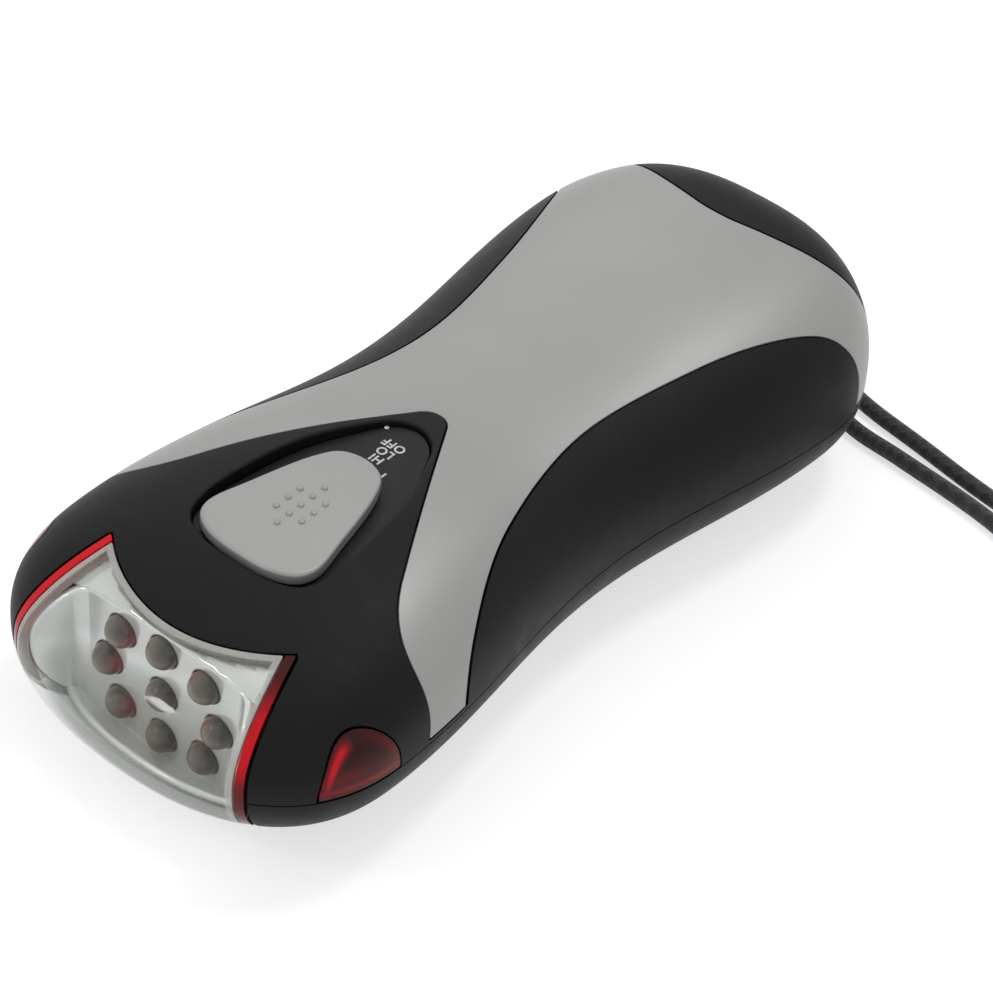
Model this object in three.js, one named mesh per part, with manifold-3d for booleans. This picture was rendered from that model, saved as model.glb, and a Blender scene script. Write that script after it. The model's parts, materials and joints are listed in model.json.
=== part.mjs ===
// Hand crank torch with nine white lamps, built as the pieces it would come apart into.
// Millimetres. X runs across, Y from the lens (minus) to the tail (plus), and Z up.
// The torch lies on its flat underside at height zero, with the crank folded away.

import * as THREE from 'three';
import { mergeVertices } from 'three/addons/utils/BufferGeometryUtils.js';
import Module from 'manifold-3d';

const wasm = await Module();
wasm.setup();

// Clearances
const fitGap = 0.3;
const runGap = 0.4;

// Body form: plan widths, top heights and section powers
const bodyHalfLength = 75;
const beltHeight = 18;
const partingHeight = 16.6;
const noseHalfWidth = 32.4;
const noseWidestShare = 2 / 3;
const noseWidestY = -bodyHalfLength * noseWidestShare;
const nosePlanPower = 2.35;
const waistHalfWidth = 26.5;
const waistShare = 0.04;
const waistY = bodyHalfLength * waistShare;
const tailHalfWidth = 31.3;
const tailWidestShare = 2 / 3;
const tailWidestY = bodyHalfLength * tailWidestShare;
const tailPlanPower = 2.15;
const noseTopHeight = 35.5;
const noseTopShare = 0.373;
const noseTopY = -bodyHalfLength * noseTopShare;
const noseTopPower = 2;
const waistTopHeight = 34.1;
const waistTopY = 0;
const tailTopHeight = 38.1;
const tailTopShare = 0.8;
const tailTopY = bodyHalfLength * tailTopShare;
const tailTopPower = 2.25;
const floorSink = 0.8;
const noseFloorShare = 0.6;
const noseFloorY = -bodyHalfLength * noseFloorShare;
const tailFloorShare = 0.827;
const tailFloorY = bodyHalfLength * tailFloorShare;
const floorPower = 2.1;
const upperSectionPower = 2.6;
const lowerSectionPower = 2.2;

// Walls
const casingWall = 2.8;
const coverWall = 1.2;
const lensWall = 1.5;
const mouldWall = 1.2;
const skinKept = 1;

// Silver cover outline, seen from above
const hoodApexShare = 0.096;
const hoodApexY = -bodyHalfLength * hoodApexShare;
const hoodApexRadius = 3;
const hoodFlankAngle = 30.6;
const hoodFlankShare = 0.475;
const hoodFlankEndY = -bodyHalfLength * hoodFlankShare;
const armFrontShare = 0.592;
const armFrontY = -bodyHalfLength * armFrontShare;
const hoodShoulderX = 23.4;
const armFrontX = 30;
const coverReach = 38;
const coverSideShares = [
  [1, -0.587],
  [0.779, -0.44],
  [0.55, -0.211],
  [0.418, 0.08],
  [0.5, 0.387],
  [0.647, 0.627],
  [0.774, 0.733],
  [1, 0.853],
];
const coverTailShares = [
  [1, 1.013],
  [0.6, 0.851],
  [0.368, 0.795],
  [0, 0.756],
];

// Front lens and the parts behind it
const lensCornerX = 16.2;
const lensCornerShare = 0.757;
const lensCornerY = -bodyHalfLength * lensCornerShare;
const lensArcDip = 5.7;
const lensFlare = 0.31;
const lensFloorHeight = 3;
const lensRebateDepth = 3;
const stripWidth = 1;
const stripFloorHeight = 9.3;
const reflectorWall = 1;
const reflectorPlateShare = 0.84;
const reflectorPlateY = -bodyHalfLength * reflectorPlateShare;
const reflectorPlateHalfWidth = 15.5;
const reflectorWingDepth = 6.5;
const reflectorWingY = reflectorPlateY - reflectorWingDepth;
const reflectorShelfHeight = 8.5;
const lampPitchX = 10.5;
const lampPitchZ = 7.85;
const lampCornerShareX = 0.757;
const lampCornerShareZ = 0.845;
const lampCentreHeight = 17.05;
const lampRadius = 2.5;
const lampFlangeRadius = 2.9;
const lampFlangeThickness = 1;
const lampStraightLength = 5.9;
const lampHoleRadius = 2.7;
const boardThickness = 1.6;
const lampBoardInset = 12.4;
const lampBoardHalfWidth = noseHalfWidth - lampBoardInset;
const lampBoardFloor = 7.8;
const lampBoardShoulder = 24.8;
const lampBoardCrownInset = 2;
const lampBoardCrownHalfWidth = lensCornerX - lampBoardCrownInset;
const lampBoardTop = 26.8;
const lampBoardSetBack = 6.225;
const lampBoardFrontY = reflectorPlateY + lampBoardSetBack;

// Red side windows
const windowCentreY = lensCornerY;
const windowHalfWidth = 6.3;
const windowHeight = 8.8;
const windowPlateTop = 25.5;
const windowPlateRearY = windowCentreY + windowHalfWidth + fitGap;
const sideLampRadius = 1.5;
const sideLampFlange = 1.9;
const sideLampHeight = 21;
const sideLampLength = 5;

// Slide switch
const panelSlope = 0.045;
const panelDrop = 3.4;
const panelFrontHeight = noseTopHeight - panelDrop;
const panelWall = 1.2;
const ledgeWall = 1.3;
const ledgeWidth = 2.2;
const ledgeRingWidth = 1.8;
const recessHalfWidth = 12;
const recessShares = [
  [0, -0.661],
  [0.54, -0.655],
  [0.883, -0.628],
  [1, -0.567],
  [0.95, -0.453],
  [0.8, -0.333],
  [0.555, -0.243],
  [0.308, -0.176],
  [0, -0.155],
];
const knobHalfWidth = 10.3;
const knobShares = [
  [0, -0.655],
  [0.563, -0.648],
  [0.893, -0.624],
  [1, -0.589],
  [0.864, -0.5],
  [0.573, -0.363],
  [0.369, -0.32],
  [0, -0.305],
];
const knobHeight = 1.9;
const knobEdgeRound = 0.5;
const pimpleRadius = 0.5;
const pimpleHeight = 0.35;
const pimplePitch = 2.4;
const pimpleCentreShare = 0.484;
const pimpleCentreY = -bodyHalfLength * pimpleCentreShare;
const switchTravel = 7.5;
const stemHalfWidth = 2;
const stemFrontShare = 0.533;
const stemFrontY = -bodyHalfLength * stemFrontShare;
const stemLength = 4;
const carriageHalfWidth = 4;
const carriageLength = 10;
const carriageWall = 1.2;
const tineLength = 0.8;
const tineHeight = 1;
const leverHalfWidth = 0.8;
const switchBodyHalfWidth = 4;
const switchBodyLength = 17;
const switchBodyHeight = 4.3;

// Middle of the crank, which the gearbox and the main board keep their distance from
const drumInset = 33;
const drumCentreY = bodyHalfLength - drumInset;

// Main board and its two screws
const mainBoardFloor = 20.2;
const mainBoardInset = 14.9;
const mainBoardHalfWidth = noseHalfWidth - mainBoardInset;
const mainBoardFrontShare = 0.693;
const mainBoardFrontY = -bodyHalfLength * mainBoardFrontShare;
const mainBoardToDrum = 55;
const mainBoardRearY = drumCentreY - mainBoardToDrum;
const boardScrewInset = 5;
const boardScrewSide = 4.5;
const boardScrewX = mainBoardHalfWidth - boardScrewSide;
const boardScrewY = mainBoardRearY - boardScrewInset;
const boardBossRadius = 2.6;

// Rechargeable cells, stacked across the body
const cellRadius = 7.6;
const cellThickness = 6;
const cellGap = 0.4;
const cellCount = 3;
const cellCentreHeight = 11.5;
const sleeveWall = 0.3;
const cradleRibWidth = 1.6;
const cradleRibHeight = 8;
const cradleReach = 9;

// Crank drum in its round well, folding arm and spinning knob
const drumRadius = 17;
const drumWall = 1.4;
const drumFaceHeight = 0.4;
const drumPlate = 1.8;
const wellGap = 0.5;
const wellWall = 1.6;
const wellTop = 15.2;
const hingeInset = 3;
const hingeHeight = 1.9;
const hingePinRadius = 0.7;
const hingeBarrelRadius = 1.6;
const hingePinHalfLength = 6.6;
const armHalfWidth = 3.9;
const armClearBelow = 0.3;
const armThickness = 2.6;
const armRootLength = 5;
const armRootStep = 1.5;
const armEndRadius = 5;
const slotSideGap = 0.5;
const crankKnobRadius = 5.2;
const crankKnobTopRadius = 3.8;
const crankKnobRim = 1.5;
const crankKnobCrown = 0.4;
const pocketRoof = 1.2;
const pocketRim = 1.2;
const coreHalfWidth = 7.2;
const crankShaftRadius = 2;
const crankHubRadius = 4;
const crankHubHeight = 2.2;
const crankShaftSeat = 0.8;
const knobPinRadius = 1.5;
const knobPinHeadRadius = 2.6;
const knobPinHeadHeight = 0.9;

// Gear train: four meshing steps from the drum to the generator
const pressureAngle = 25;
const addendumShare = 0.8;
const dedendumShare = 1;
const backlash = 0.16;
const pinionTeeth = 9;
const driveTeeth = 36;
const wheelTeeth = 27;
const straightFlankTeeth = 20;
const ringGearRim = 2.8;
const ringGearHeight = 2.8;
const wheelOneRadius = 12.15;
const wheelTwoRadius = 10.8;
const wheelThickness = 2.2;
const stageOneAngle = -112;
const stageTwoAngle = -25;
const stageThreeAngle = -122;
const axleRadius = 1.2;
const spacerRadius = 2.4;
const gearPlateWall = 1.4;
const lowerPlateTop = 14.7;
const postRadius = 2.4;
const postPlateRadius = 2.8;
const postSteps = [
  [-17.4, -39],
  [17, -40.5],
  [15.5, -18],
  [-20.3, -11.6],
];
const postPlaces = postSteps.map(([x, step]) => [x, drumCentreY + step]);
const shaftPlateRadius = 6;

// Generator
const magnetRadius = 7.2;
const magnetFloor = 6.2;
const magnetTop = 12.6;
const rotorShaftRadius = 1;
const rotorBossRadius = 2.6;
const yokeInnerRadius = 7.7;
const yokeOuterRadius = 12.3;
const yokeWall = 0.9;
const yokeFloor = 5.7;
const bearingDepth = 2;

// Screws
const screwRadius = 1.1;
const screwHeadRadius = 2;
const screwHeadHeight = 1.3;
const screwBite = 6;
const noseScrewInset = 10.4;
const noseScrewX = noseHalfWidth - noseScrewInset;
const noseScrewY = -bodyHalfLength * stemFrontShare;
const tailScrewX = 14;
const tailScrewInset = 11;
const tailScrewY = bodyHalfLength - tailScrewInset;
const casingScrewPlaces = [
  [noseScrewX, noseScrewY],
  [-noseScrewX, noseScrewY],
  [tailScrewX, tailScrewY],
  [-tailScrewX, tailScrewY],
];
const casingScrewLength = 14;
const casingBossRadius = 3.3;

// Wrist cord, with both ends held in one crimp behind the tail wall
const cordDiameter = 2.6;
const cordSides = 8;
const cordSteps = 50;
const cordHoleHeight = 8.2;
const cordEndInset = 6.8;
const cordEndY = bodyHalfLength - cordEndInset;
const crimpLength = 2.6;
const crimpHalfWidth = 4.4;
const crimpHalfHeight = 2.4;
const cordHalfSpread = 1.7;
const cordLie = 1.4;
const cordRoute = [
  [-cordHalfSpread, -3, cordHoleHeight],
  [-1.4, 1.5, 7.6],
  [2.4, 5, 4.6],
  [9, 4.2, 2.2],
  [20.3, 0.8, cordLie],
  [33.3, -1.6, cordLie],
  [49.2, -4.3, cordLie],
  [68, -5.5, cordLie],
  [90, -1, cordLie],
  [112, 3.5, cordLie],
  [128, 0.5, cordLie],
  [134, -10, cordLie],
  [129, -20.5, cordLie],
  [114, -25, cordLie],
  [92, -21.5, cordLie],
  [70, -14.5, cordLie],
  [52.3, -9, cordLie],
  [33, -6.6, cordLie],
  [22.9, -5.6, cordLie],
  [12.5, -2.2, 2.2],
  [4.8, 0.4, 5],
  [1.9, -0.6, 7.6],
];

// Facets
const bodyStations = 24;
const bodyAround = 24;
const innerStations = 18;
const innerAround = 16;
const roundSegments = 20;
const drumSegments = 32;
const smallSegments = 10;
const lampSegments = 10;
const weldDistance = 0.0001;
const cutReach = 60;

// Finishes
const finishes = {
  blackShell: { color: 0x202020, roughness: 0.55, metalness: 0 },
  silverPaint: { color: 0xa3a3a0, roughness: 0.38, metalness: 0.55 },
  clearPlastic: { color: 0xd8dcd8, roughness: 0.08, metalness: 0 },
  brightPlate: { color: 0xd0d0cc, roughness: 0.15, metalness: 0.9 },
  redPlastic: { color: 0xa00018, roughness: 0.12, metalness: 0 },
  lampResin: { color: 0x8a7a70, roughness: 0.1, metalness: 0 },
  boardGreen: { color: 0x1f5a34, roughness: 0.5, metalness: 0 },
  darkPlastic: { color: 0x161616, roughness: 0.4, metalness: 0 },
  steel: { color: 0xb4b6b8, roughness: 0.3, metalness: 1 },
  brass: { color: 0xb8963c, roughness: 0.35, metalness: 1 },
  paleNylon: { color: 0xe6e2d6, roughness: 0.45, metalness: 0 },
  greyPlastic: { color: 0x8e9092, roughness: 0.5, metalness: 0 },
  copper: { color: 0xa8582a, roughness: 0.35, metalness: 0.9 },
  ferrite: { color: 0x2c2c30, roughness: 0.6, metalness: 0.2 },
  greenSleeve: { color: 0x2f8a52, roughness: 0.35, metalness: 0 },
  cord: { color: 0x121212, roughness: 0.85, metalness: 0 },
};

const torch = new THREE.Group();
torch.name = 'hand_crank_flashlight';

// Turns a closed geometry into a solid for cutting, with its faces outward
function solidOf(geometry) {
  const bare = new THREE.BufferGeometry();
  bare.setAttribute('position', geometry.getAttribute('position').clone());
  if (geometry.index) bare.setIndex(geometry.index.clone());
  const merged = mergeVertices(bare, weldDistance);
  const position = merged.getAttribute('position').array;
  const source = merged.index.array;
  const corners = [];
  let volume = 0;
  for (let start = 0; start < source.length; start += 3) {
    const [a, b, c] = [source[start], source[start + 1], source[start + 2]];
    if (a === b || b === c || c === a) continue;
    const first = new THREE.Vector3().fromArray(position, a * 3);
    const second = new THREE.Vector3().fromArray(position, b * 3);
    const third = new THREE.Vector3().fromArray(position, c * 3);
    volume += first.dot(second.cross(third));
    corners.push(a, b, c);
  }
  if (volume < 0) corners.reverse();
  return new wasm.Manifold(new wasm.Mesh({
    numProp: 3,
    vertProperties: new Float32Array(position),
    triVerts: new Uint32Array(corners),
  }));
}

// Adds a finished solid to the torch as a named mesh
function place(name, solid, finish) {
  const result = solid.getMesh();
  const geometry = new THREE.BufferGeometry();
  geometry.setAttribute('position', new THREE.BufferAttribute(new Float32Array(result.vertProperties), 3));
  geometry.setIndex(new THREE.BufferAttribute(new Uint32Array(result.triVerts), 1));
  geometry.computeVertexNormals();
  const mesh = new THREE.Mesh(geometry, new THREE.MeshStandardMaterial(finishes[finish]));
  mesh.name = name;
  torch.add(mesh);
}

// Upright prism of an outline given as [x, y] pairs
function prism(outline, floor, top) {
  const shape = new THREE.Shape(outline.map(([x, y]) => new THREE.Vector2(x, y)));
  const geometry = new THREE.ExtrudeGeometry(shape, { depth: top - floor, bevelEnabled: false });
  geometry.translate(0, 0, floor);
  return solidOf(geometry);
}

// Prism of an outline given as [y, z] pairs, lying across the body
function crossPrism(outline, left, right) {
  const shape = new THREE.Shape(outline.map(([y, z]) => new THREE.Vector2(y, z)));
  const geometry = new THREE.ExtrudeGeometry(shape, { depth: right - left, bevelEnabled: false });
  const turn = new THREE.Matrix4().set(0, 0, 1, left, 1, 0, 0, 0, 0, 1, 0, 0, 0, 0, 0, 1);
  geometry.applyMatrix4(turn);
  return solidOf(geometry);
}

function block(left, right, front, rear, floor, top) {
  const geometry = new THREE.BoxGeometry(right - left, rear - front, top - floor);
  geometry.translate((left + right) / 2, (front + rear) / 2, (floor + top) / 2);
  return solidOf(geometry);
}

// Upright round bar
function rod(radius, x, y, floor, top, segments = roundSegments) {
  const geometry = new THREE.CylinderGeometry(radius, radius, top - floor, segments);
  geometry.rotateX(Math.PI / 2);
  geometry.translate(x, y, (floor + top) / 2);
  return solidOf(geometry);
}

// Round bar lying across the body
function crossRod(radius, left, right, y, z, segments = smallSegments) {
  const geometry = new THREE.CylinderGeometry(radius, radius, right - left, segments);
  geometry.rotateZ(Math.PI / 2);
  geometry.translate((left + right) / 2, y, z);
  return solidOf(geometry);
}

// Turned piece on an upright axis, from [radius, height] pairs that start and end on the axis
function turned(profile, x, y, segments = roundSegments) {
  const geometry = new THREE.LatheGeometry(profile.map(([r, h]) => new THREE.Vector2(r, h)), segments);
  geometry.rotateX(Math.PI / 2);
  geometry.translate(x, y, 0);
  return solidOf(geometry);
}

function mirrored(points) {
  const other = points.filter(([x]) => x !== 0).map(([x, y]) => [-x, y]);
  return [...points, ...other.reverse()];
}

// Places of an outline given as shares of its half width and of the body's half length
function scaledPlan(shares, halfWidth) {
  return shares.map(([across, along]) => [across * halfWidth, along * bodyHalfLength]);
}

// Smooth closed outline through a half outline and its mirror image
function smoothLoop(halfPoints, count) {
  const knots = mirrored(halfPoints).map(([x, y]) => new THREE.Vector3(x, y, 0));
  const loop = new THREE.CatmullRomCurve3(knots, true, 'centripetal');
  return loop.getSpacedPoints(count).slice(0, count).map((point) => [point.x, point.y]);
}

function smoothLine(points, count) {
  const line = new THREE.SplineCurve(points.map(([x, y]) => new THREE.Vector2(x, y)));
  return line.getSpacedPoints(count).map((point) => [point.x, point.y]);
}

// Moves every side of a closed outline outward, or inward when the distance is negative
function grown(outline, distance) {
  let area = 0;
  outline.forEach(([x, y], index) => {
    const [nextX, nextY] = outline[(index + 1) % outline.length];
    area += x * nextY - nextX * y;
  });
  const side = area > 0 ? 1 : -1;
  return outline.map(([x, y], index) => {
    const before = outline[(index + outline.length - 1) % outline.length];
    const after = outline[(index + 1) % outline.length];
    const along = new THREE.Vector2(x - before[0], y - before[1]).normalize();
    const ahead = new THREE.Vector2(after[0] - x, after[1] - y).normalize();
    const mean = along.clone().add(ahead).normalize();
    const stretch = 1 / Math.max(mean.dot(along), 1 / 2);
    return [x + side * mean.y * distance * stretch, y - side * mean.x * distance * stretch];
  });
}

function ease(from, to, share) {
  return from + (to - from) * (1 - Math.cos(Math.PI * share)) / 2;
}

function endRound(distance, length, power) {
  const share = Math.min(Math.max(distance / length, 0), 1);
  return (1 - share ** power) ** (1 / power);
}

// Half width, top height and lowest curve of the body at a place along it, with a skin taken off
function bodySection(y, skin) {
  const end = bodyHalfLength - skin;
  let halfWidth;
  if (y < noseWidestY) {
    halfWidth = (noseHalfWidth - skin) * endRound(noseWidestY - y, end + noseWidestY, nosePlanPower);
  } else if (y < waistY) {
    halfWidth = ease(noseHalfWidth, waistHalfWidth, (y - noseWidestY) / (waistY - noseWidestY)) - skin;
  } else if (y < tailWidestY) {
    halfWidth = ease(waistHalfWidth, tailHalfWidth, (y - waistY) / (tailWidestY - waistY)) - skin;
  } else {
    halfWidth = (tailHalfWidth - skin) * endRound(y - tailWidestY, end - tailWidestY, tailPlanPower);
  }
  let rise;
  if (y < noseTopY) {
    rise = (noseTopHeight - beltHeight - skin) * endRound(noseTopY - y, end + noseTopY, noseTopPower);
  } else if (y < waistTopY) {
    rise = ease(noseTopHeight, waistTopHeight, (y - noseTopY) / (waistTopY - noseTopY)) - beltHeight - skin;
  } else if (y < tailTopY) {
    rise = ease(waistTopHeight, tailTopHeight, (y - waistTopY) / (tailTopY - waistTopY)) - beltHeight - skin;
  } else {
    rise = (tailTopHeight - beltHeight - skin) * endRound(y - tailTopY, end - tailTopY, tailTopPower);
  }
  let depth = beltHeight + floorSink - skin;
  if (y < noseFloorY) depth *= endRound(noseFloorY - y, end + noseFloorY, floorPower);
  if (y > tailFloorY) depth *= endRound(y - tailFloorY, end - tailFloorY, floorPower);
  return { halfWidth, rise, depth };
}

function bodyPoint(y, angle, skin) {
  const { halfWidth, rise, depth } = bodySection(y, skin);
  const across = Math.cos(angle);
  const up = Math.sin(angle);
  const power = up >= 0 ? upperSectionPower : lowerSectionPower;
  const x = halfWidth * Math.sign(across) * Math.abs(across) ** (2 / power);
  const swing = Math.abs(up) ** (2 / power);
  const z = up >= 0 ? beltHeight + rise * swing : Math.max(beltHeight - depth * swing, skin);
  return [x, y, z];
}

// The whole body as one solid, with a skin of the given thickness taken off
function bodySolid(skin, stations = bodyStations, around = bodyAround) {
  const end = bodyHalfLength - skin;
  const points = [];
  for (let row = 1; row < stations; row += 1) {
    const y = -end * Math.cos(Math.PI * row / stations);
    for (let column = 0; column < around; column += 1) {
      points.push(...bodyPoint(y, 2 * Math.PI * column / around, skin));
    }
  }
  const noseTip = points.length / 3;
  const tailTip = noseTip + 1;
  points.push(0, -end, beltHeight, 0, end, beltHeight);
  const faces = [];
  const rows = stations - 1;
  for (let column = 0; column < around; column += 1) {
    const next = (column + 1) % around;
    faces.push(noseTip, next, column);
    for (let row = 0; row < rows - 1; row += 1) {
      const here = row * around;
      const there = here + around;
      faces.push(here + column, here + next, there + column);
      faces.push(here + next, there + next, there + column);
    }
    const last = (rows - 1) * around;
    faces.push(tailTip, last + column, last + next);
  }
  const geometry = new THREE.BufferGeometry();
  geometry.setAttribute('position', new THREE.BufferAttribute(new Float32Array(points), 3));
  geometry.setIndex(faces);
  return solidOf(geometry);
}

// Body solids that the shells are cut from
const wholeBody = bodySolid(0);
const cavityBody = bodySolid(casingWall, innerStations, innerAround);
const keptBody = bodySolid(skinKept);
const seatBody = bodySolid(coverWall + fitGap);
const coverInside = bodySolid(coverWall);
const lensInside = bodySolid(lensWall);
const reflectorOutside = bodySolid(lensWall + fitGap);
const reflectorInside = bodySolid(lensWall + fitGap + reflectorWall);
const mouldOutside = bodySolid(casingWall + fitGap, innerStations, innerAround);
const mouldInside = bodySolid(casingWall + fitGap + mouldWall, innerStations, innerAround);

// Outline of the silver cover, seen from above
function coverOutline() {
  const half = [];
  const arcStart = Math.PI / 2;
  const arcEnd = THREE.MathUtils.degToRad(hoodFlankAngle);
  const arcSteps = 5;
  const arcCentreY = hoodApexY - hoodApexRadius;
  for (let step = 0; step <= arcSteps; step += 1) {
    const angle = arcStart + (arcEnd - arcStart) * step / arcSteps;
    half.push([hoodApexRadius * Math.cos(angle), arcCentreY + hoodApexRadius * Math.sin(angle)]);
  }
  half[0][0] = 0;
  const [lastX, lastY] = half[half.length - 1];
  const flankX = lastX + (lastY - hoodFlankEndY) * Math.tan(arcEnd);
  const shoulder = new THREE.QuadraticBezierCurve(
    new THREE.Vector2(flankX, hoodFlankEndY),
    new THREE.Vector2(hoodShoulderX, armFrontY),
    new THREE.Vector2(armFrontX, armFrontY),
  );
  const shoulderSteps = 6;
  half.push(...shoulder.getPoints(shoulderSteps).map((point) => [point.x, point.y]));
  half.push([coverReach, armFrontY]);
  const sideSteps = 14;
  const tailSteps = 6;
  half.push(...smoothLine(scaledPlan(coverSideShares, coverReach), sideSteps).slice(1));
  half.push(...smoothLine(scaledPlan(coverTailShares, coverReach), tailSteps));
  half[half.length - 1][0] = 0;
  return mirrored(half);
}

const silverOutline = coverOutline();
const coverFloor = partingHeight + skinKept;
const coverPrism = prism(grown(silverOutline, -fitGap / 2), coverFloor, cutReach);
const seatPrism = prism(grown(silverOutline, fitGap / 2), coverFloor - fitGap, cutReach);
place('top_cover', wholeBody.intersect(coverPrism).subtract(coverInside), 'silverPaint');

// Plan outline of the lens opening, with its sides and its rear edge moved outward
function lensOutline(sideExtra, rearExtra) {
  const half = [];
  const arcRadius = (lensCornerX ** 2 + lensArcDip ** 2) / (2 * lensArcDip) - rearExtra;
  const arcCentreY = lensCornerY - lensArcDip + arcRadius + rearExtra;
  const arcSteps = 7;
  const cornerX = lensCornerX + sideExtra;
  for (let step = 0; step <= arcSteps; step += 1) {
    const x = cornerX * step / arcSteps;
    half.push([x, arcCentreY - Math.sqrt(arcRadius ** 2 - x ** 2)]);
  }
  const farY = -bodyHalfLength - cornerX;
  const cornerY = half[half.length - 1][1];
  half.push([cornerX + lensFlare * (cornerY - farY), farY]);
  return mirrored(half);
}

function lensHalfWidthAt(y) {
  return lensCornerX + lensFlare * (lensCornerY - y);
}

// Straight-sided wedge that continues the sides of the lens rearward
function lensWedge(sideExtra, rearY) {
  const farY = -bodyHalfLength - lensCornerX;
  return mirrored([
    [0, rearY],
    [lensHalfWidthAt(rearY) + sideExtra, rearY],
    [lensHalfWidthAt(farY) + sideExtra, farY],
  ]);
}

const lensShape = prism(lensOutline(0, 0), lensFloorHeight, cutReach);
const openingSide = stripWidth + 2 * fitGap;
const openingFloor = lensFloorHeight - fitGap;
const openingShape = prism(lensOutline(openingSide, fitGap), openingFloor, cutReach);
const lensRebate = prism(lensOutline(0, lensRebateDepth), openingFloor, cutReach).intersect(lensInside);
place('front_lens', wholeBody.subtract(lensInside).intersect(lensShape), 'clearPlastic');

// Bright reflector: a plate with lamp holes, two wings, an upper flange and a lower shelf
const lampPlaces = [[0, 0], [-1, 0], [1, 0], [0, 1], [0, -1]];
for (const across of [-1, 1]) {
  for (const up of [-1, 1]) lampPlaces.push([across * lampCornerShareX, up * lampCornerShareZ]);
}
const reflectorFloor = lensFloorHeight + 2 * fitGap;
const wingX = lensHalfWidthAt(reflectorWingY) - fitGap;
const plateRearY = reflectorPlateY + reflectorWall;
const trayOutline = mirrored([
  [0, reflectorPlateY],
  [reflectorPlateHalfWidth, reflectorPlateY],
  [wingX - reflectorWall / 2, reflectorWingY],
  [wingX, reflectorWingY + reflectorWall / 2],
  [reflectorPlateHalfWidth + reflectorWall / 2, plateRearY],
  [0, plateRearY],
]);
const innerLens = prism(lensOutline(-fitGap, -fitGap), reflectorFloor, cutReach);
const reflectorShell = reflectorOutside.subtract(reflectorInside).intersect(innerLens);
const quarterTurn = 90;
const flangeZone = block(-cutReach, cutReach, reflectorPlateY, 0, beltHeight, cutReach);
const shelfZone = block(-cutReach, cutReach, -cutReach * 2, 0, 0, reflectorShelfHeight);
let reflector = prism(trayOutline, reflectorFloor, cutReach).intersect(reflectorOutside);
reflector = reflector.add(reflectorShell.intersect(flangeZone.add(shelfZone)));
for (const [across, up] of lampPlaces) {
  const hole = rod(lampHoleRadius, 0, 0, -reflectorWall * 2, reflectorWall * 2, smallSegments);
  const x = across * lampPitchX;
  const z = lampCentreHeight + up * lampPitchZ;
  const facing = hole.rotate([quarterTurn, 0, 0]);
  reflector = reflector.subtract(facing.translate([x, reflectorPlateY + reflectorWall / 2, z]));
}
place('reflector', reflector, 'brightPlate');

// Lamp board, the nine white lamps and the two red side lamps
const lampBoardRearY = lampBoardFrontY + boardThickness;
const lampBoardWide = block(
  -lampBoardHalfWidth, lampBoardHalfWidth, lampBoardFrontY, lampBoardRearY, lampBoardFloor, lampBoardShoulder,
);
const lampBoardCrown = block(
  -lampBoardCrownHalfWidth, lampBoardCrownHalfWidth, lampBoardFrontY, lampBoardRearY,
  lampBoardFloor, lampBoardTop,
);
place('led_board', lampBoardWide.add(lampBoardCrown), 'boardGreen');

function lampProfile(radius, flange, straight) {
  const profile = [[0, 0], [flange, 0], [flange, lampFlangeThickness], [radius, lampFlangeThickness]];
  const domeSteps = 3;
  for (let step = 0; step <= domeSteps; step += 1) {
    const angle = Math.PI / 2 * step / domeSteps;
    profile.push([radius * Math.cos(angle), straight + radius * Math.sin(angle)]);
  }
  profile[profile.length - 1][0] = 0;
  return profile;
}

lampPlaces.forEach(([across, up], index) => {
  const lamp = turned(lampProfile(lampRadius, lampFlangeRadius, lampStraightLength), 0, 0, lampSegments);
  const x = across * lampPitchX;
  const z = lampCentreHeight + up * lampPitchZ;
  const facing = lamp.rotate([quarterTurn, 0, 0]);
  place(`led_${index + 1}`, facing.translate([x, lampBoardFrontY - fitGap, z]), 'lampResin');
});

// Red side windows: a bulging pane, a strip beside the lens and the plate that joins them
const sides = [['left', -1], ['right', 1]];
const paneFloor = partingHeight + fitGap;

function paneOutline(extra) {
  const outline = [];
  const paneSteps = 15;
  for (let step = 0; step <= paneSteps; step += 1) {
    const angle = Math.PI * step / paneSteps;
    const along = (windowHalfWidth + extra) * Math.cos(angle);
    outline.push([windowCentreY + along, paneFloor - extra + (windowHeight + 2 * extra) * Math.sin(angle)]);
  }
  return outline;
}

const stripOuter = prism(lensOutline(fitGap + stripWidth, 0), stripFloorHeight, cutReach);
const stripInner = prism(lensWedge(fitGap, windowPlateRearY), 0, cutReach);
const mouldShell = mouldOutside.subtract(mouldInside);
for (const [side, sign] of sides) {
  const half = block(0, cutReach, -cutReach * 2, 0, 0, cutReach).scale([sign, 1, 1]);
  const paneZone = crossPrism(paneOutline(0), 0, cutReach).scale([sign, 1, 1]);
  const pane = wholeBody.subtract(mouldInside).intersect(paneZone);
  const strip = wholeBody.subtract(mouldInside).intersect(stripOuter).subtract(stripInner).intersect(half);
  const plateZone = block(-cutReach, cutReach, -cutReach * 2, windowPlateRearY, paneFloor, windowPlateTop);
  const plate = mouldShell.intersect(plateZone).subtract(stripInner).intersect(half);
  place(`red_window_${side}`, pane.add(strip).add(plate), 'redPlastic');
  const profile = lampProfile(sideLampRadius, sideLampFlange, sideLampLength - sideLampRadius);
  const lamp = turned(profile, 0, 0, lampSegments);
  const lampY = lampBoardFrontY + boardThickness / 2;
  const lampX = sign * (lampBoardHalfWidth + fitGap);
  const facing = lamp.rotate([0, sign * quarterTurn, 0]);
  place(`red_led_${side}`, facing.translate([lampX, lampY, sideLampHeight]), 'redPlastic');
}

// Slide switch: the panel, ledge and knob all lean with the hood
const recessSteps = 22;
const recessPoints = scaledPlan(recessShares, recessHalfWidth);
const recessOutline = smoothLoop(recessPoints, recessSteps);
const recessFrontY = recessPoints[0][1];

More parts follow.
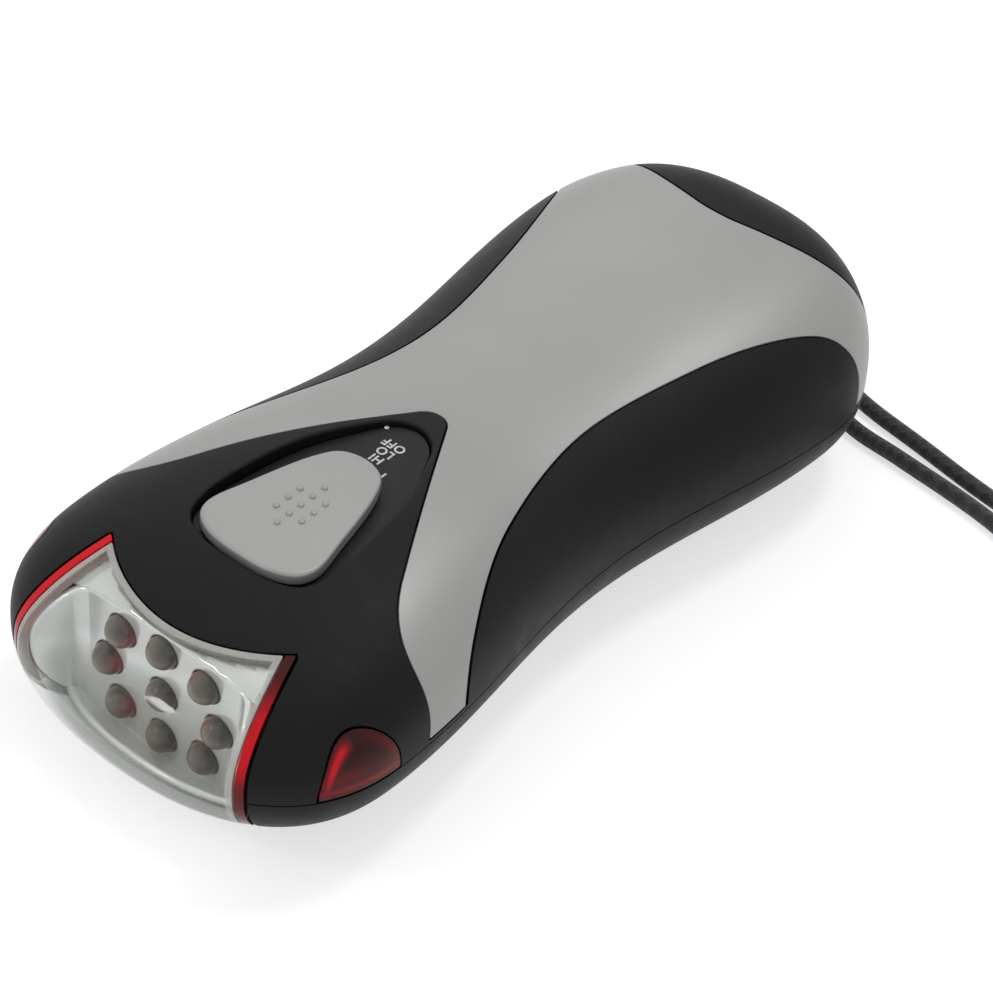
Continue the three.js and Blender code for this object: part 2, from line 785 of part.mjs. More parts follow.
function leaned(solid) {
  return solid.transform([1, 0, 0, 0, 0, 1, panelSlope, 0, 0, 0, 1, 0, 0, 0, -panelSlope * recessFrontY, 1]);
}

const panelFloor = panelFrontHeight - panelWall;
const ledgeTop = panelFloor - fitGap;
const ledgeFloor = ledgeTop - ledgeWall;
const stemRearY = stemFrontY + stemLength;
const slotSide = stemHalfWidth + fitGap;
const slotFrontY = stemFrontY - fitGap;
const slotEndY = stemRearY + switchTravel + fitGap;
const panelSlot = block(-slotSide, slotSide, slotFrontY, slotEndY, 0, cutReach);
const panel = leaned(prism(grown(recessOutline, -fitGap), panelFloor, panelFrontHeight)).subtract(panelSlot);
place('switch_panel', panel, 'darkPlastic');

// Knob with a rounded top edge and eleven raised pimples
const knobFloor = panelFrontHeight + runGap;
const knobTop = knobFloor + knobHeight;
const knobSteps = 24;
const knobOutline = smoothLoop(scaledPlan(knobShares, knobHalfWidth), knobSteps);
const roundSteps = 2;
let knob = prism(knobOutline, knobFloor, knobTop - knobEdgeRound);
for (let step = 1; step <= roundSteps; step += 1) {
  const angle = Math.PI / 2 * step / roundSteps;
  const inward = knobEdgeRound * (1 - Math.cos(angle));
  const layerTop = knobTop - knobEdgeRound * (1 - Math.sin(angle));
  knob = knob.add(prism(grown(knobOutline, -inward), knobFloor, layerTop));
}
const pimpleSides = 6;
const pimplePlaces = [[0, 2], [0, -2]];
for (const across of [-1, 0, 1]) {
  for (const along of [-1, 0, 1]) pimplePlaces.push([across, along]);
}
for (const [across, along] of pimplePlaces) {
  const profile = [
    [0, knobTop - pimpleHeight],
    [pimpleRadius, knobTop - pimpleHeight],
    [pimpleRadius, knobTop],
    [0, knobTop + pimpleHeight],
  ];
  const y = pimpleCentreY + along * pimplePitch;
  knob = knob.add(turned(profile, across * pimplePitch, y, pimpleSides));
}
place('switch_knob', leaned(knob), 'silverPaint');

// Carriage under the panel, with a fork round the lever of the switch
const carriageTop = ledgeFloor - runGap;
const carriageFloor = carriageTop - carriageWall;
const stemMidY = stemFrontY + stemLength / 2;
const carriageFrontY = stemMidY - carriageLength / 2;
const carriageRearY = carriageFrontY + carriageLength;
const stem = block(-stemHalfWidth, stemHalfWidth, stemFrontY, stemRearY, carriageFloor, knobFloor - fitGap);
const flange = block(
  -carriageHalfWidth, carriageHalfWidth, carriageFrontY, carriageRearY, carriageFloor, carriageTop,
);
const frontTine = block(
  -stemHalfWidth, stemHalfWidth, stemFrontY, stemFrontY + tineLength,
  carriageFloor - tineHeight, carriageFloor,
);
const rearTine = frontTine.translate([0, stemLength - tineLength, 0]);
place('switch_carriage', leaned(stem.add(flange).add(frontTine).add(rearTine)), 'paleNylon');

const mainBoardTop = mainBoardFloor + boardThickness;
const switchFloor = mainBoardTop + fitGap;
const switchTop = switchFloor + switchBodyHeight;
const leverLean = panelSlope * (stemMidY - recessFrontY);
const leverTop = carriageFloor + leverLean - runGap;
place('switch_lever', block(
  -leverHalfWidth, leverHalfWidth, stemMidY - leverHalfWidth, stemMidY + leverHalfWidth,
  switchTop + fitGap, leverTop,
), 'paleNylon');
const switchFrontY = stemMidY + switchTravel / 2 - switchBodyLength / 2;
place('switch_body', block(
  -switchBodyHalfWidth, switchBodyHalfWidth, switchFrontY, switchFrontY + switchBodyLength,
  switchFloor, switchTop,
), 'steel');

// Screw with its head at the lower end when the head lies below the shank
function screw(x, y, headFloor, tip) {
  const headTop = headFloor + screwHeadHeight;
  const pointsUp = tip > headFloor;
  const profile = pointsUp
    ? [[0, headFloor], [screwHeadRadius, headFloor], [screwHeadRadius, headTop], [screwRadius, headTop],
      [screwRadius, tip], [0, tip]]
    : [[0, tip], [screwRadius, tip], [screwRadius, headFloor], [screwHeadRadius, headFloor],
      [screwHeadRadius, headTop], [0, headTop]];
  return turned(profile, x, y, smallSegments);
}

// Main board hung from two bosses of the upper casing
let mainBoard = block(
  -mainBoardHalfWidth, mainBoardHalfWidth, mainBoardFrontY, mainBoardRearY, mainBoardFloor, mainBoardTop,
);
const screwHole = screwRadius + fitGap;
let boardBosses = null;
[boardScrewX, -boardScrewX].forEach((x, index) => {
  mainBoard = mainBoard.subtract(rod(screwHole, x, boardScrewY, 0, cutReach, smallSegments));
  const boss = rod(boardBossRadius, x, boardScrewY, mainBoardTop + fitGap, cutReach, smallSegments)
    .subtract(rod(screwHole, x, boardScrewY, 0, mainBoardTop + screwBite + fitGap, smallSegments));
  boardBosses = boardBosses ? boardBosses.add(boss) : boss;
  const headFloor = mainBoardFloor - fitGap - screwHeadHeight;
  place(`board_screw_${index + 1}`, screw(x, boardScrewY, headFloor, mainBoardTop + screwBite), 'steel');
});
place('main_board', mainBoard, 'boardGreen');

// Crank heights: the arm lies deep enough to pass below the casing when it is turned out
const crankCentre = [0, drumCentreY];
const ringFloor = wellTop + runGap;
const ringTop = ringFloor + ringGearHeight;
const drumTop = ringTop;
const hingeReach = drumRadius - hingeInset;
const hingeY = drumCentreY + hingeReach;
const armFloor = 2 * hingeHeight + armClearBelow;
const armTop = armFloor + armThickness;
const crankKnobFloor = armTop + runGap;
const pocketTop = drumTop - pocketRoof;
const crankKnobTop = pocketTop - runGap;
const pocketReach = drumRadius - pocketRim;
const swingReach = hingeReach + pocketReach - runGap;
const knobRise = crankKnobTop - hingeHeight;
const armLength = Math.sqrt(swingReach ** 2 - knobRise ** 2) - crankKnobTopRadius;
const crankKnobY = hingeY - armLength;
const pocketRadius = crankKnobRadius + slotSideGap;
const slotHalfWidth = armHalfWidth + slotSideGap;
const slotRearY = hingeY + hingeBarrelRadius + fitGap;
const hingeBore = hingePinRadius + fitGap;

// Crank drum with a slot for the arm and a pocket for the knob
const pocketZone = rod(pocketReach, ...crankCentre, -drumFaceHeight, pocketTop, drumSegments);
const pocketBox = block(-pocketRadius, pocketRadius, 0, crankKnobY, -drumFaceHeight, pocketTop);
const knobPocket = rod(pocketRadius, 0, crankKnobY, -drumFaceHeight, pocketTop)
  .add(pocketBox)
  .intersect(pocketZone);
const slotTop = armTop + slotSideGap;
const armSlot = block(-slotHalfWidth, slotHalfWidth, crankKnobY, slotRearY, -drumFaceHeight, slotTop);
const coreFront = block(
  -coreHalfWidth, coreHalfWidth, 0, drumCentreY + crankHubRadius, drumFaceHeight, drumTop,
);
const coreRear = block(
  -coreHalfWidth, coreHalfWidth, drumCentreY, hingeY + hingeInset, drumFaceHeight, slotTop + drumWall,
);
const hollow = rod(drumRadius - drumWall, ...crankCentre, drumFaceHeight + drumPlate, cutReach, drumSegments)
  .subtract(coreFront.add(coreRear));
const shaftFloor = drumTop - crankShaftSeat;
const hubTop = drumTop + crankHubHeight;
const crankDrum = rod(drumRadius, ...crankCentre, drumFaceHeight, drumTop, drumSegments)
  .subtract(hollow)
  .subtract(armSlot)
  .subtract(knobPocket)
  .subtract(crossRod(hingeBore, -coreHalfWidth, coreHalfWidth, hingeY, hingeHeight))
  .add(rod(crankHubRadius, ...crankCentre, drumTop, hubTop))
  .subtract(rod(crankShaftRadius + fitGap, ...crankCentre, shaftFloor, cutReach, smallSegments));
place('crank_drum', crankDrum, 'darkPlastic');
place('crank_hinge_pin', crossRod(
  hingePinRadius, -hingePinHalfLength, hingePinHalfLength, hingeY, hingeHeight,
), 'steel');

// Folding arm: a stepped root carries the barrel that the hinge pin passes through
const rootOutline = [
  [hingeY, hingeHeight - hingeBarrelRadius],
  [hingeY, armTop - armRootStep],
  [hingeY - armRootStep, armTop],
  [hingeY - armRootLength, armTop],
  [hingeY - armRootLength, armFloor],
  [hingeY - hingeBarrelRadius, armFloor],
  [hingeY - hingeBarrelRadius, hingeHeight],
];
const pinHole = knobPinRadius + fitGap;
const headRecess = knobPinHeadRadius + fitGap;
const headFloor = armFloor + fitGap;
const headTop = headFloor + knobPinHeadHeight;
const crankArm = crossPrism(rootOutline, -armHalfWidth, armHalfWidth)
  .add(crossRod(hingeBarrelRadius, -armHalfWidth, armHalfWidth, hingeY, hingeHeight))
  .add(block(-armHalfWidth, armHalfWidth, crankKnobY, hingeY - armRootLength, armFloor, armTop))
  .add(rod(armEndRadius, 0, crankKnobY, armFloor, armTop))
  .subtract(crossRod(hingeBore, -cutReach, cutReach, hingeY, hingeHeight))
  .subtract(rod(pinHole, 0, crankKnobY, 0, cutReach, smallSegments))
  .subtract(rod(headRecess, 0, crankKnobY, 0, headTop + fitGap, smallSegments));
place('crank_arm', crankArm, 'blackShell');

// Knob that spins on a headed pin
const upperHeadTop = crankKnobTop - fitGap;
const upperHeadFloor = upperHeadTop - knobPinHeadHeight;
place('knob_pin', turned([
  [0, headFloor],
  [knobPinHeadRadius, headFloor],
  [knobPinHeadRadius, headTop],
  [knobPinRadius, headTop],
  [knobPinRadius, upperHeadFloor],
  [knobPinHeadRadius, upperHeadFloor],
  [knobPinHeadRadius, upperHeadTop],
  [0, upperHeadTop],
], 0, crankKnobY, smallSegments), 'steel');
const crankKnob = turned([
  [0, crankKnobFloor],
  [crankKnobRadius, crankKnobFloor],
  [crankKnobRadius, crankKnobFloor + crankKnobRim],
  [crankKnobTopRadius, crankKnobTop - crankKnobRim / 2],
  [crankKnobTopRadius - crankKnobCrown, crankKnobTop],
  [0, crankKnobTop],
], 0, crankKnobY)
  .subtract(rod(pinHole, 0, crankKnobY, 0, cutReach, smallSegments))
  .subtract(rod(headRecess, 0, crankKnobY, upperHeadFloor - fitGap, cutReach, smallSegments));
place('crank_knob', crankKnob, 'darkPlastic');

// Gear outline with involute flanks; phase is the direction of one tooth's middle
function gearOutline(teeth, pitchRadius, phase) {
  const toothModule = 2 * pitchRadius / teeth;
  const pressure = THREE.MathUtils.degToRad(pressureAngle);
  const baseRadius = pitchRadius * Math.cos(pressure);
  const tipRadius = pitchRadius + addendumShare * toothModule;
  const rootRadius = pitchRadius - dedendumShare * toothModule;
  const involute = (angle) => Math.tan(angle) - angle;
  const halfTooth = (Math.PI * toothModule / 2 - backlash) / 2 / pitchRadius;
  const halfAngle = (radius) => {
    const rolled = involute(Math.acos(Math.min(1, baseRadius / radius)));
    return halfTooth + involute(pressure) - rolled;
  };
  const flankStart = Math.max(baseRadius, rootRadius);
  const straight = teeth > straightFlankTeeth;
  const flankRadii = straight ? [flankStart, tipRadius] : [flankStart, pitchRadius, tipRadius];
  const outline = [];
  for (let tooth = 0; tooth < teeth; tooth += 1) {
    const middle = phase + 2 * Math.PI * tooth / teeth;
    const rising = flankRadii.map((radius) => [radius, middle - halfAngle(radius)]);
    const falling = flankRadii.map((radius) => [radius, middle + halfAngle(radius)]).reverse();
    const flank = [...rising, ...falling];
    if (flankStart > rootRadius) {
      flank.unshift([rootRadius, middle - halfAngle(flankStart)]);
      flank.push([rootRadius, middle + halfAngle(flankStart)]);
    }
    outline.push(...flank.map(([radius, angle]) => [radius * Math.cos(angle), radius * Math.sin(angle)]));
  }
  return outline;
}

// Phase of a follower gear that puts one of its gaps on the driver's tooth
function meshedPhase(driverTeeth, driverPhase, followerTeeth, direction) {
  const driverStep = 2 * Math.PI / driverTeeth;
  const followerStep = 2 * Math.PI / followerTeeth;
  const driverShare = (direction - driverPhase) / driverStep;
  return direction + Math.PI - (1 / 2 - driverShare) * followerStep;
}

function gearBlank(teeth, pitchRadius, phase, centre, floor, top) {
  return prism(gearOutline(teeth, pitchRadius, phase), floor, top).translate([centre[0], centre[1], 0]);
}

function stepped(centre, distance, direction) {
  return [centre[0] + distance * Math.cos(direction), centre[1] + distance * Math.sin(direction)];
}

// Centres and levels of the gear train
const driveRadius = drumRadius + ringGearRim;
const pinionOneRadius = driveRadius * pinionTeeth / driveTeeth;
const pinionTwoRadius = wheelOneRadius * pinionTeeth / wheelTeeth;
const pinionThreeRadius = wheelTwoRadius * pinionTeeth / wheelTeeth;
const directionOne = THREE.MathUtils.degToRad(stageOneAngle);
const directionTwo = THREE.MathUtils.degToRad(stageTwoAngle);
const directionThree = THREE.MathUtils.degToRad(stageThreeAngle);
const centreOne = stepped(crankCentre, driveRadius + pinionOneRadius, directionOne);
const centreTwo = stepped(centreOne, wheelOneRadius + pinionTwoRadius, directionTwo);
const rotorCentre = stepped(centreTwo, wheelTwoRadius + pinionThreeRadius, directionThree);
const wheelOneFloor = ringTop + runGap;
const wheelOneTop = wheelOneFloor + wheelThickness;
const wheelTwoFloor = wheelOneTop + runGap;
const wheelTwoTop = wheelTwoFloor + wheelThickness;
const upperPlateFloor = wheelTwoTop + runGap;
const upperPlateTop = upperPlateFloor + gearPlateWall;
const lowerPlateFloor = lowerPlateTop - gearPlateWall;
const spacerFloor = lowerPlateTop + fitGap;
const axleBore = axleRadius + fitGap;

const ringGear = gearBlank(driveTeeth, driveRadius, 0, crankCentre, ringFloor, ringTop)
  .subtract(rod(drumRadius + fitGap, ...crankCentre, 0, cutReach, drumSegments));
place('drive_gear', ringGear, 'paleNylon');
place('crank_shaft', rod(
  crankShaftRadius, ...crankCentre, shaftFloor + fitGap, upperPlateTop, smallSegments,
), 'steel');

const phaseOne = meshedPhase(driveTeeth, 0, pinionTeeth, directionOne);
const compoundOne = gearBlank(pinionTeeth, pinionOneRadius, phaseOne, centreOne, ringFloor, wheelOneTop)
  .add(gearBlank(wheelTeeth, wheelOneRadius, 0, centreOne, wheelOneFloor, wheelOneTop))
  .add(rod(spacerRadius, ...centreOne, spacerFloor, wheelOneTop, smallSegments))
  .subtract(rod(axleBore, ...centreOne, 0, cutReach, smallSegments));
place('compound_gear_1', compoundOne, 'paleNylon');

const phaseTwo = meshedPhase(wheelTeeth, 0, pinionTeeth, directionTwo);
const compoundTwo = gearBlank(pinionTeeth, pinionTwoRadius, phaseTwo, centreTwo, wheelOneFloor, wheelTwoTop)
  .add(gearBlank(wheelTeeth, wheelTwoRadius, 0, centreTwo, wheelTwoFloor, wheelTwoTop))
  .add(rod(spacerRadius, ...centreTwo, spacerFloor, wheelTwoTop, smallSegments))
  .subtract(rod(axleBore, ...centreTwo, 0, cutReach, smallSegments));
place('compound_gear_2', compoundTwo, 'paleNylon');

const phaseThree = meshedPhase(wheelTeeth, 0, pinionTeeth, directionThree);
const rotorBore = rotorShaftRadius + fitGap;
place('rotor_pinion', gearBlank(
  pinionTeeth, pinionThreeRadius, phaseThree, rotorCentre, wheelTwoFloor, wheelTwoTop,
).subtract(rod(rotorBore, ...rotorCentre, 0, cutReach, smallSegments)), 'brass');

// Gearbox plates, posts, axles and screws
function hullOutline(circles) {
  const points = [];
  const hullSteps = 10;
  for (const [x, y, radius] of circles) {
    for (let step = 0; step < hullSteps; step += 1) {
      points.push(stepped([x, y], radius, 2 * Math.PI * step / hullSteps));
    }
  }
  points.sort((first, second) => first[0] - second[0] || first[1] - second[1]);
  const turn = (a, b, c) => (b[0] - a[0]) * (c[1] - a[1]) - (b[1] - a[1]) * (c[0] - a[0]);
  const chain = (list) => {
    const kept = [];
    for (const point of list) {
      while (kept.length > 1 && turn(kept[kept.length - 2], kept[kept.length - 1], point) <= 0) kept.pop();
      kept.push(point);
    }
    return kept.slice(0, -1);
  };
  return [...chain(points), ...chain([...points].reverse())];
}

const postCircles = postPlaces.map(([x, y]) => [x, y, postPlateRadius]);
const rotorCircle = [...rotorCentre, shaftPlateRadius];
const wellOuter = drumRadius + wellGap + wellWall;
let lowerPlate = prism(hullOutline([...postCircles, rotorCircle]), lowerPlateFloor, lowerPlateTop)
  .subtract(rod(wellOuter + runGap, ...crankCentre, 0, cutReach, drumSegments));
const shaftCircle = [...crankCentre, shaftPlateRadius];
const upperOutline = hullOutline([...postCircles, rotorCircle, shaftCircle]);
let upperPlate = prism(upperOutline, upperPlateFloor, upperPlateTop)
  .subtract(rod(crankShaftRadius + runGap, ...crankCentre, 0, cutReach, smallSegments));
const platePocket = prism(
  grown(upperOutline, fitGap), upperPlateFloor - fitGap, upperPlateTop + fitGap,
);
let gearboxRoom = platePocket;
let plateStands = null;
let pilotBores = null;
postPlaces.forEach(([x, y], index) => {
  const hole = rod(screwHole, x, y, 0, cutReach, smallSegments);
  const post = rod(postRadius, x, y, lowerPlateFloor, upperPlateFloor - fitGap, smallSegments);
  lowerPlate = lowerPlate.add(post).subtract(hole);
  upperPlate = upperPlate.subtract(hole);
  const stand = rod(postPlateRadius, x, y, 0, lowerPlateFloor - fitGap, smallSegments);
  const pilot = rod(screwHole, x, y, lowerPlateFloor - screwBite - fitGap, cutReach, smallSegments);
  plateStands = plateStands ? plateStands.add(stand) : stand;
  pilotBores = pilotBores ? pilotBores.add(pilot) : pilot;
  const tip = lowerPlateFloor - screwBite;
  const headRoof = upperPlateTop + fitGap + screwHeadHeight + fitGap;
  gearboxRoom = gearboxRoom.add(rod(screwHeadRadius + fitGap, x, y, upperPlateTop, headRoof, smallSegments));
  place(`gearbox_screw_${index + 1}`, screw(x, y, upperPlateTop + fitGap, tip), 'steel');
});
[centreOne, centreTwo].forEach((centre, index) => {
  const hole = rod(axleBore, ...centre, 0, cutReach, smallSegments);
  lowerPlate = lowerPlate.subtract(hole);
  upperPlate = upperPlate.subtract(hole);
  const axle = rod(axleRadius, ...centre, lowerPlateFloor, upperPlateTop, smallSegments);
  place(`gear_axle_${index + 1}`, axle, 'steel');
});
const rotorHole = rod(rotorShaftRadius + runGap, ...rotorCentre, 0, cutReach, smallSegments);
place('gear_plate_lower', lowerPlate.subtract(rotorHole), 'greyPlastic');
place('gear_plate_upper', upperPlate.subtract(rotorHole), 'greyPlastic');

// Generator: ring magnet on its shaft inside a wound yoke
const bearingTop = yokeFloor - runGap;
const bearingFloor = bearingTop - bearingDepth;
place('rotor_shaft', rod(
  rotorShaftRadius, ...rotorCentre, bearingFloor + fitGap, upperPlateTop, smallSegments,
), 'steel');
place('rotor_magnet', rod(magnetRadius, ...rotorCentre, magnetFloor, magnetTop)
  .subtract(rod(rotorBore, ...rotorCentre, 0, cutReach, smallSegments)), 'ferrite');
const yokeTop = lowerPlateFloor - fitGap;
const yokeSolid = rod(yokeOuterRadius, ...rotorCentre, yokeFloor, yokeTop)
  .subtract(rod(yokeInnerRadius, ...rotorCentre, 0, cutReach));
const windingRoom = rod(yokeOuterRadius - yokeWall, ...rotorCentre, yokeFloor + yokeWall, cutReach)
  .subtract(rod(yokeInnerRadius + yokeWall, ...rotorCentre, 0, cutReach));
place('stator_yoke', yokeSolid.subtract(windingRoom), 'steel');
place('stator_coil', rod(
  yokeOuterRadius - yokeWall - fitGap, ...rotorCentre, yokeFloor + yokeWall + fitGap, yokeTop - fitGap,
).subtract(rod(yokeInnerRadius + yokeWall + fitGap, ...rotorCentre, 0, cutReach)), 'copper');

// Three button cells in a shrink sleeve, midway between the lamp board and the generator
const cellCentreY = (lampBoardRearY + rotorCentre[1] - yokeOuterRadius) / 2;
function cellRod(radius, left, right) {
  return crossRod(radius, left, right, cellCentreY, cellCentreHeight, roundSegments);
}

const cellPitch = cellThickness + cellGap;
for (let index = 0; index < cellCount; index += 1) {
  const left = (index - cellCount / 2) * cellPitch + cellGap / 2;
  const cell = cellRod(cellRadius, left, left + cellThickness);
  place(`battery_cell_${index + 1}`, cell, 'steel');
}
const sleeveHalf = cellCount * cellPitch / 2;
const sleeveInner = cellRadius + fitGap;
const sleeveOuter = sleeveInner + sleeveWall;
const sleeveBore = cellRod(sleeveInner, -cutReach, cutReach);
place('battery_sleeve', cellRod(sleeveOuter, -sleeveHalf, sleeveHalf).subtract(sleeveBore), 'greenSleeve');

// Casing bosses and the four screws that hold the halves together
const bossTopOfLower = partingHeight - fitGap / 2;
let upperBosses = boardBosses;
let lowerBosses = plateStands;
let bossBores = null;
casingScrewPlaces.forEach(([x, y], index) => {
  const headTopHeight = partingHeight - screwBite + fitGap;
  const headBase = headTopHeight - screwHeadHeight;
  const lowerBoss = rod(casingBossRadius, x, y, 0, bossTopOfLower, smallSegments);
  const counterbore = rod(screwHeadRadius + fitGap, x, y, -cutReach, headTopHeight + fitGap, smallSegments);
  const passage = rod(screwHole, x, y, 0, cutReach, smallSegments);
  const bore = counterbore.add(passage);
  lowerBosses = lowerBosses.add(lowerBoss);
  bossBores = bossBores ? bossBores.add(bore) : bore;
  const tip = headBase + casingScrewLength;
  const upperBoss = rod(casingBossRadius, x, y, partingHeight + fitGap / 2, cutReach, smallSegments)
    .subtract(rod(screwHole, x, y, 0, tip + fitGap, smallSegments));
  upperBosses = upperBosses.add(upperBoss);
  place(`casing_screw_${index + 1}`, screw(x, y, headBase, tip), 'steel');
});

// Upper casing: shell, cover seat, switch recess, bosses, lens and window openings
const upperStart = partingHeight + fitGap / 2;
const aboveParting = block(-cutReach, cutReach, -cutReach * 2, cutReach * 2, upperStart, cutReach);
const belowParting = block(-cutReach, cutReach, -cutReach * 2, cutReach * 2, -cutReach, bossTopOfLower);
const recessRing = prism(grown(recessOutline, ledgeRingWidth), ledgeFloor, cutReach);
const ledgeRing = leaned(prism(grown(recessOutline, ledgeRingWidth), ledgeFloor, ledgeTop))
  .subtract(prism(grown(recessOutline, -ledgeWidth), 0, cutReach));
const recessWall = leaned(recessRing).subtract(prism(recessOutline, 0, cutReach)).intersect(seatBody);
const recessCut = leaned(prism(recessOutline, ledgeTop, cutReach));
let upperCasing = wholeBody.intersect(aboveParting).subtract(cavityBody)
  .subtract(seatPrism.subtract(seatBody))
  .add(upperBosses.intersect(seatBody))
  .subtract(recessCut)
  .add(recessWall)
  .add(ledgeRing.intersect(seatBody))
  .subtract(openingShape)
  .subtract(lensRebate)
  .subtract(gearboxRoom);
for (const [, sign] of sides) {
  upperCasing = upperCasing.subtract(crossPrism(paneOutline(fitGap), 0, cutReach).scale([sign, 1, 1]));
}
place('upper_casing', upperCasing, 'blackShell');

// Crimp of the cord, and the room that it has behind the tail wall
const crimpRearY = cordEndY - fitGap;
const crimpFrontY = crimpRearY - crimpLength;
function crimpBlock(extra) {
  return block(
    -crimpHalfWidth - extra, crimpHalfWidth + extra, crimpFrontY - extra, crimpRearY + extra,
    cordHoleHeight - crimpHalfHeight - extra, cordHoleHeight + crimpHalfHeight + extra,
  );
}
place('cord_crimp', crimpBlock(0), 'steel');

// Lower casing: shell, crank well, cell cradle, bosses and the cord hole
const wellInner = drumRadius + wellGap;
const well = rod(wellOuter, ...crankCentre, 0, wellTop, drumSegments);
const cradleHollow = cellRod(sleeveOuter + fitGap, -cutReach, cutReach);
let cradle = null;
for (const sign of [-1, 1]) {
  const ribX = sign * cellPitch;
  const rib = block(
    ribX - cradleRibWidth / 2, ribX + cradleRibWidth / 2,
    cellCentreY - cradleReach, cellCentreY + cradleReach,
    skinKept, cradleRibHeight,
  ).subtract(cradleHollow);
  cradle = cradle ? cradle.add(rib) : rib;
}
const rotorBoss = rod(rotorBossRadius, ...rotorCentre, skinKept, bearingTop, smallSegments)
  .subtract(rod(rotorShaftRadius + runGap, ...rotorCentre, bearingFloor, cutReach, smallSegments));
const bearingWell = rod(rotorShaftRadius + runGap, ...rotorCentre, bearingFloor, cutReach, smallSegments);
const cordHoleSide = cordHalfSpread + cordDiameter / 2 + runGap;
const cordHole = block(
  -cordHoleSide, cordHoleSide, cordEndY, cutReach * 2,
  cordHoleHeight - cordDiameter / 2 - runGap, cordHoleHeight + cordDiameter / 2 + runGap,
);
const lowerCasing = wholeBody.intersect(belowParting).subtract(cavityBody)
  .add(lowerBosses.add(cradle).add(rotorBoss).intersect(keptBody))
  .add(well)
  .subtract(rod(wellInner, ...crankCentre, -cutReach, cutReach, drumSegments))
  .subtract(bossBores)
  .subtract(bearingWell)
  .subtract(openingShape)
  .subtract(lensRebate)
  .subtract(pilotBores)
  .subtract(crimpBlock(fitGap))
  .subtract(cordHole);
place('lower_casing', lowerCasing, 'blackShell');

// Wrist cord, whose two ends the crimp holds
const cordStart = new THREE.Vector3(-cordHalfSpread, cordEndY, cordHoleHeight);
const cordFinish = new THREE.Vector3(cordHalfSpread, cordEndY, cordHoleHeight);
const cordKnots = cordRoute.map(([x, step, z]) => new THREE.Vector3(x, bodyHalfLength + step, z));
const cordCurve = new THREE.CatmullRomCurve3([cordStart, ...cordKnots, cordFinish], false, 'centripetal');
const cordSection = new THREE.Shape();
for (let side = 0; side < cordSides; side += 1) {
  const angle = 2 * Math.PI * side / cordSides;
  const x = cordDiameter / 2 * Math.cos(angle);
  const y = cordDiameter / 2 * Math.sin(angle);
  if (side === 0) cordSection.moveTo(x, y);
  else cordSection.lineTo(x, y);
}
const cordTube = new THREE.ExtrudeGeometry(cordSection, {
  steps: cordSteps,
  bevelEnabled: false,
  extrudePath: cordCurve,
});
place('wrist_cord', solidOf(cordTube), 'cord');
console.log(`wrist cord length ${cordCurve.getLength().toFixed(1)} mm`);

export default torch;
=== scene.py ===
import json
import math

import bmesh
import bpy
import numpy as np
from mathutils import Matrix, Vector

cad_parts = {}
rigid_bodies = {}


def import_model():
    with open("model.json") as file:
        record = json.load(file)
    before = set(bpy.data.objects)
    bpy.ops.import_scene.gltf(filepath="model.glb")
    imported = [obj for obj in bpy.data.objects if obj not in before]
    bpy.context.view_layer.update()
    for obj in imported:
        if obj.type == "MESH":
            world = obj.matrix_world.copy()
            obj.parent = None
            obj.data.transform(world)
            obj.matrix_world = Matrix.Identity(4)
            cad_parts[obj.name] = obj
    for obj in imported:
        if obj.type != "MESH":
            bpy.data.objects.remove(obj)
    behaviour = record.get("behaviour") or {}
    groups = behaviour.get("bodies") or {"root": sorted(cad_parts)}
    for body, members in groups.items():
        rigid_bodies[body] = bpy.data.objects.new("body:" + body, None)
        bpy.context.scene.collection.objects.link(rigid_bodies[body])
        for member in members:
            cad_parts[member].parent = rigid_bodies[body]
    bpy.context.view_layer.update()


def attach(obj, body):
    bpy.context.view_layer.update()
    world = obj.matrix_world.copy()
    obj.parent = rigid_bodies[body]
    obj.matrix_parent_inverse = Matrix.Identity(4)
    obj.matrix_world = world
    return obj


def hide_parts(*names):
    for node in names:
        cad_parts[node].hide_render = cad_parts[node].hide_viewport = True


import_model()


# Camera
# The photograph looks down on the torch from in front of its lens and a little from its left.
# The camera was also turned slightly about its own axis.
def shown(name, data):
    """Puts a new object with this data into the scene."""
    made = bpy.data.objects.new(name, data)
    bpy.context.scene.collection.objects.link(made)
    return made


camera_azimuth = math.radians(37.52)
camera_elevation = math.radians(40.24)
camera_roll = math.radians(4.99)
camera_distance = 0.51112
camera_aim = Vector((0.00593, 0, 0.01831))
camera_data = bpy.data.cameras.new("camera")
camera_data.sensor_width = 36
camera_data.lens = 126.26
camera_data.clip_start = 0.01
camera = shown("camera", camera_data)
camera_turn = Matrix.Rotation(camera_azimuth, 4, "Z")
camera_turn @= Matrix.Rotation(math.pi / 2 - camera_elevation, 4, "X")
camera_turn @= Matrix.Rotation(camera_roll, 4, "Z")
camera.matrix_world = (
    Matrix.Translation(camera_aim) @ camera_turn @ Matrix.Translation((0, 0, camera_distance)))
bpy.context.scene.camera = camera
bpy.context.scene.view_settings.view_transform = "Standard"


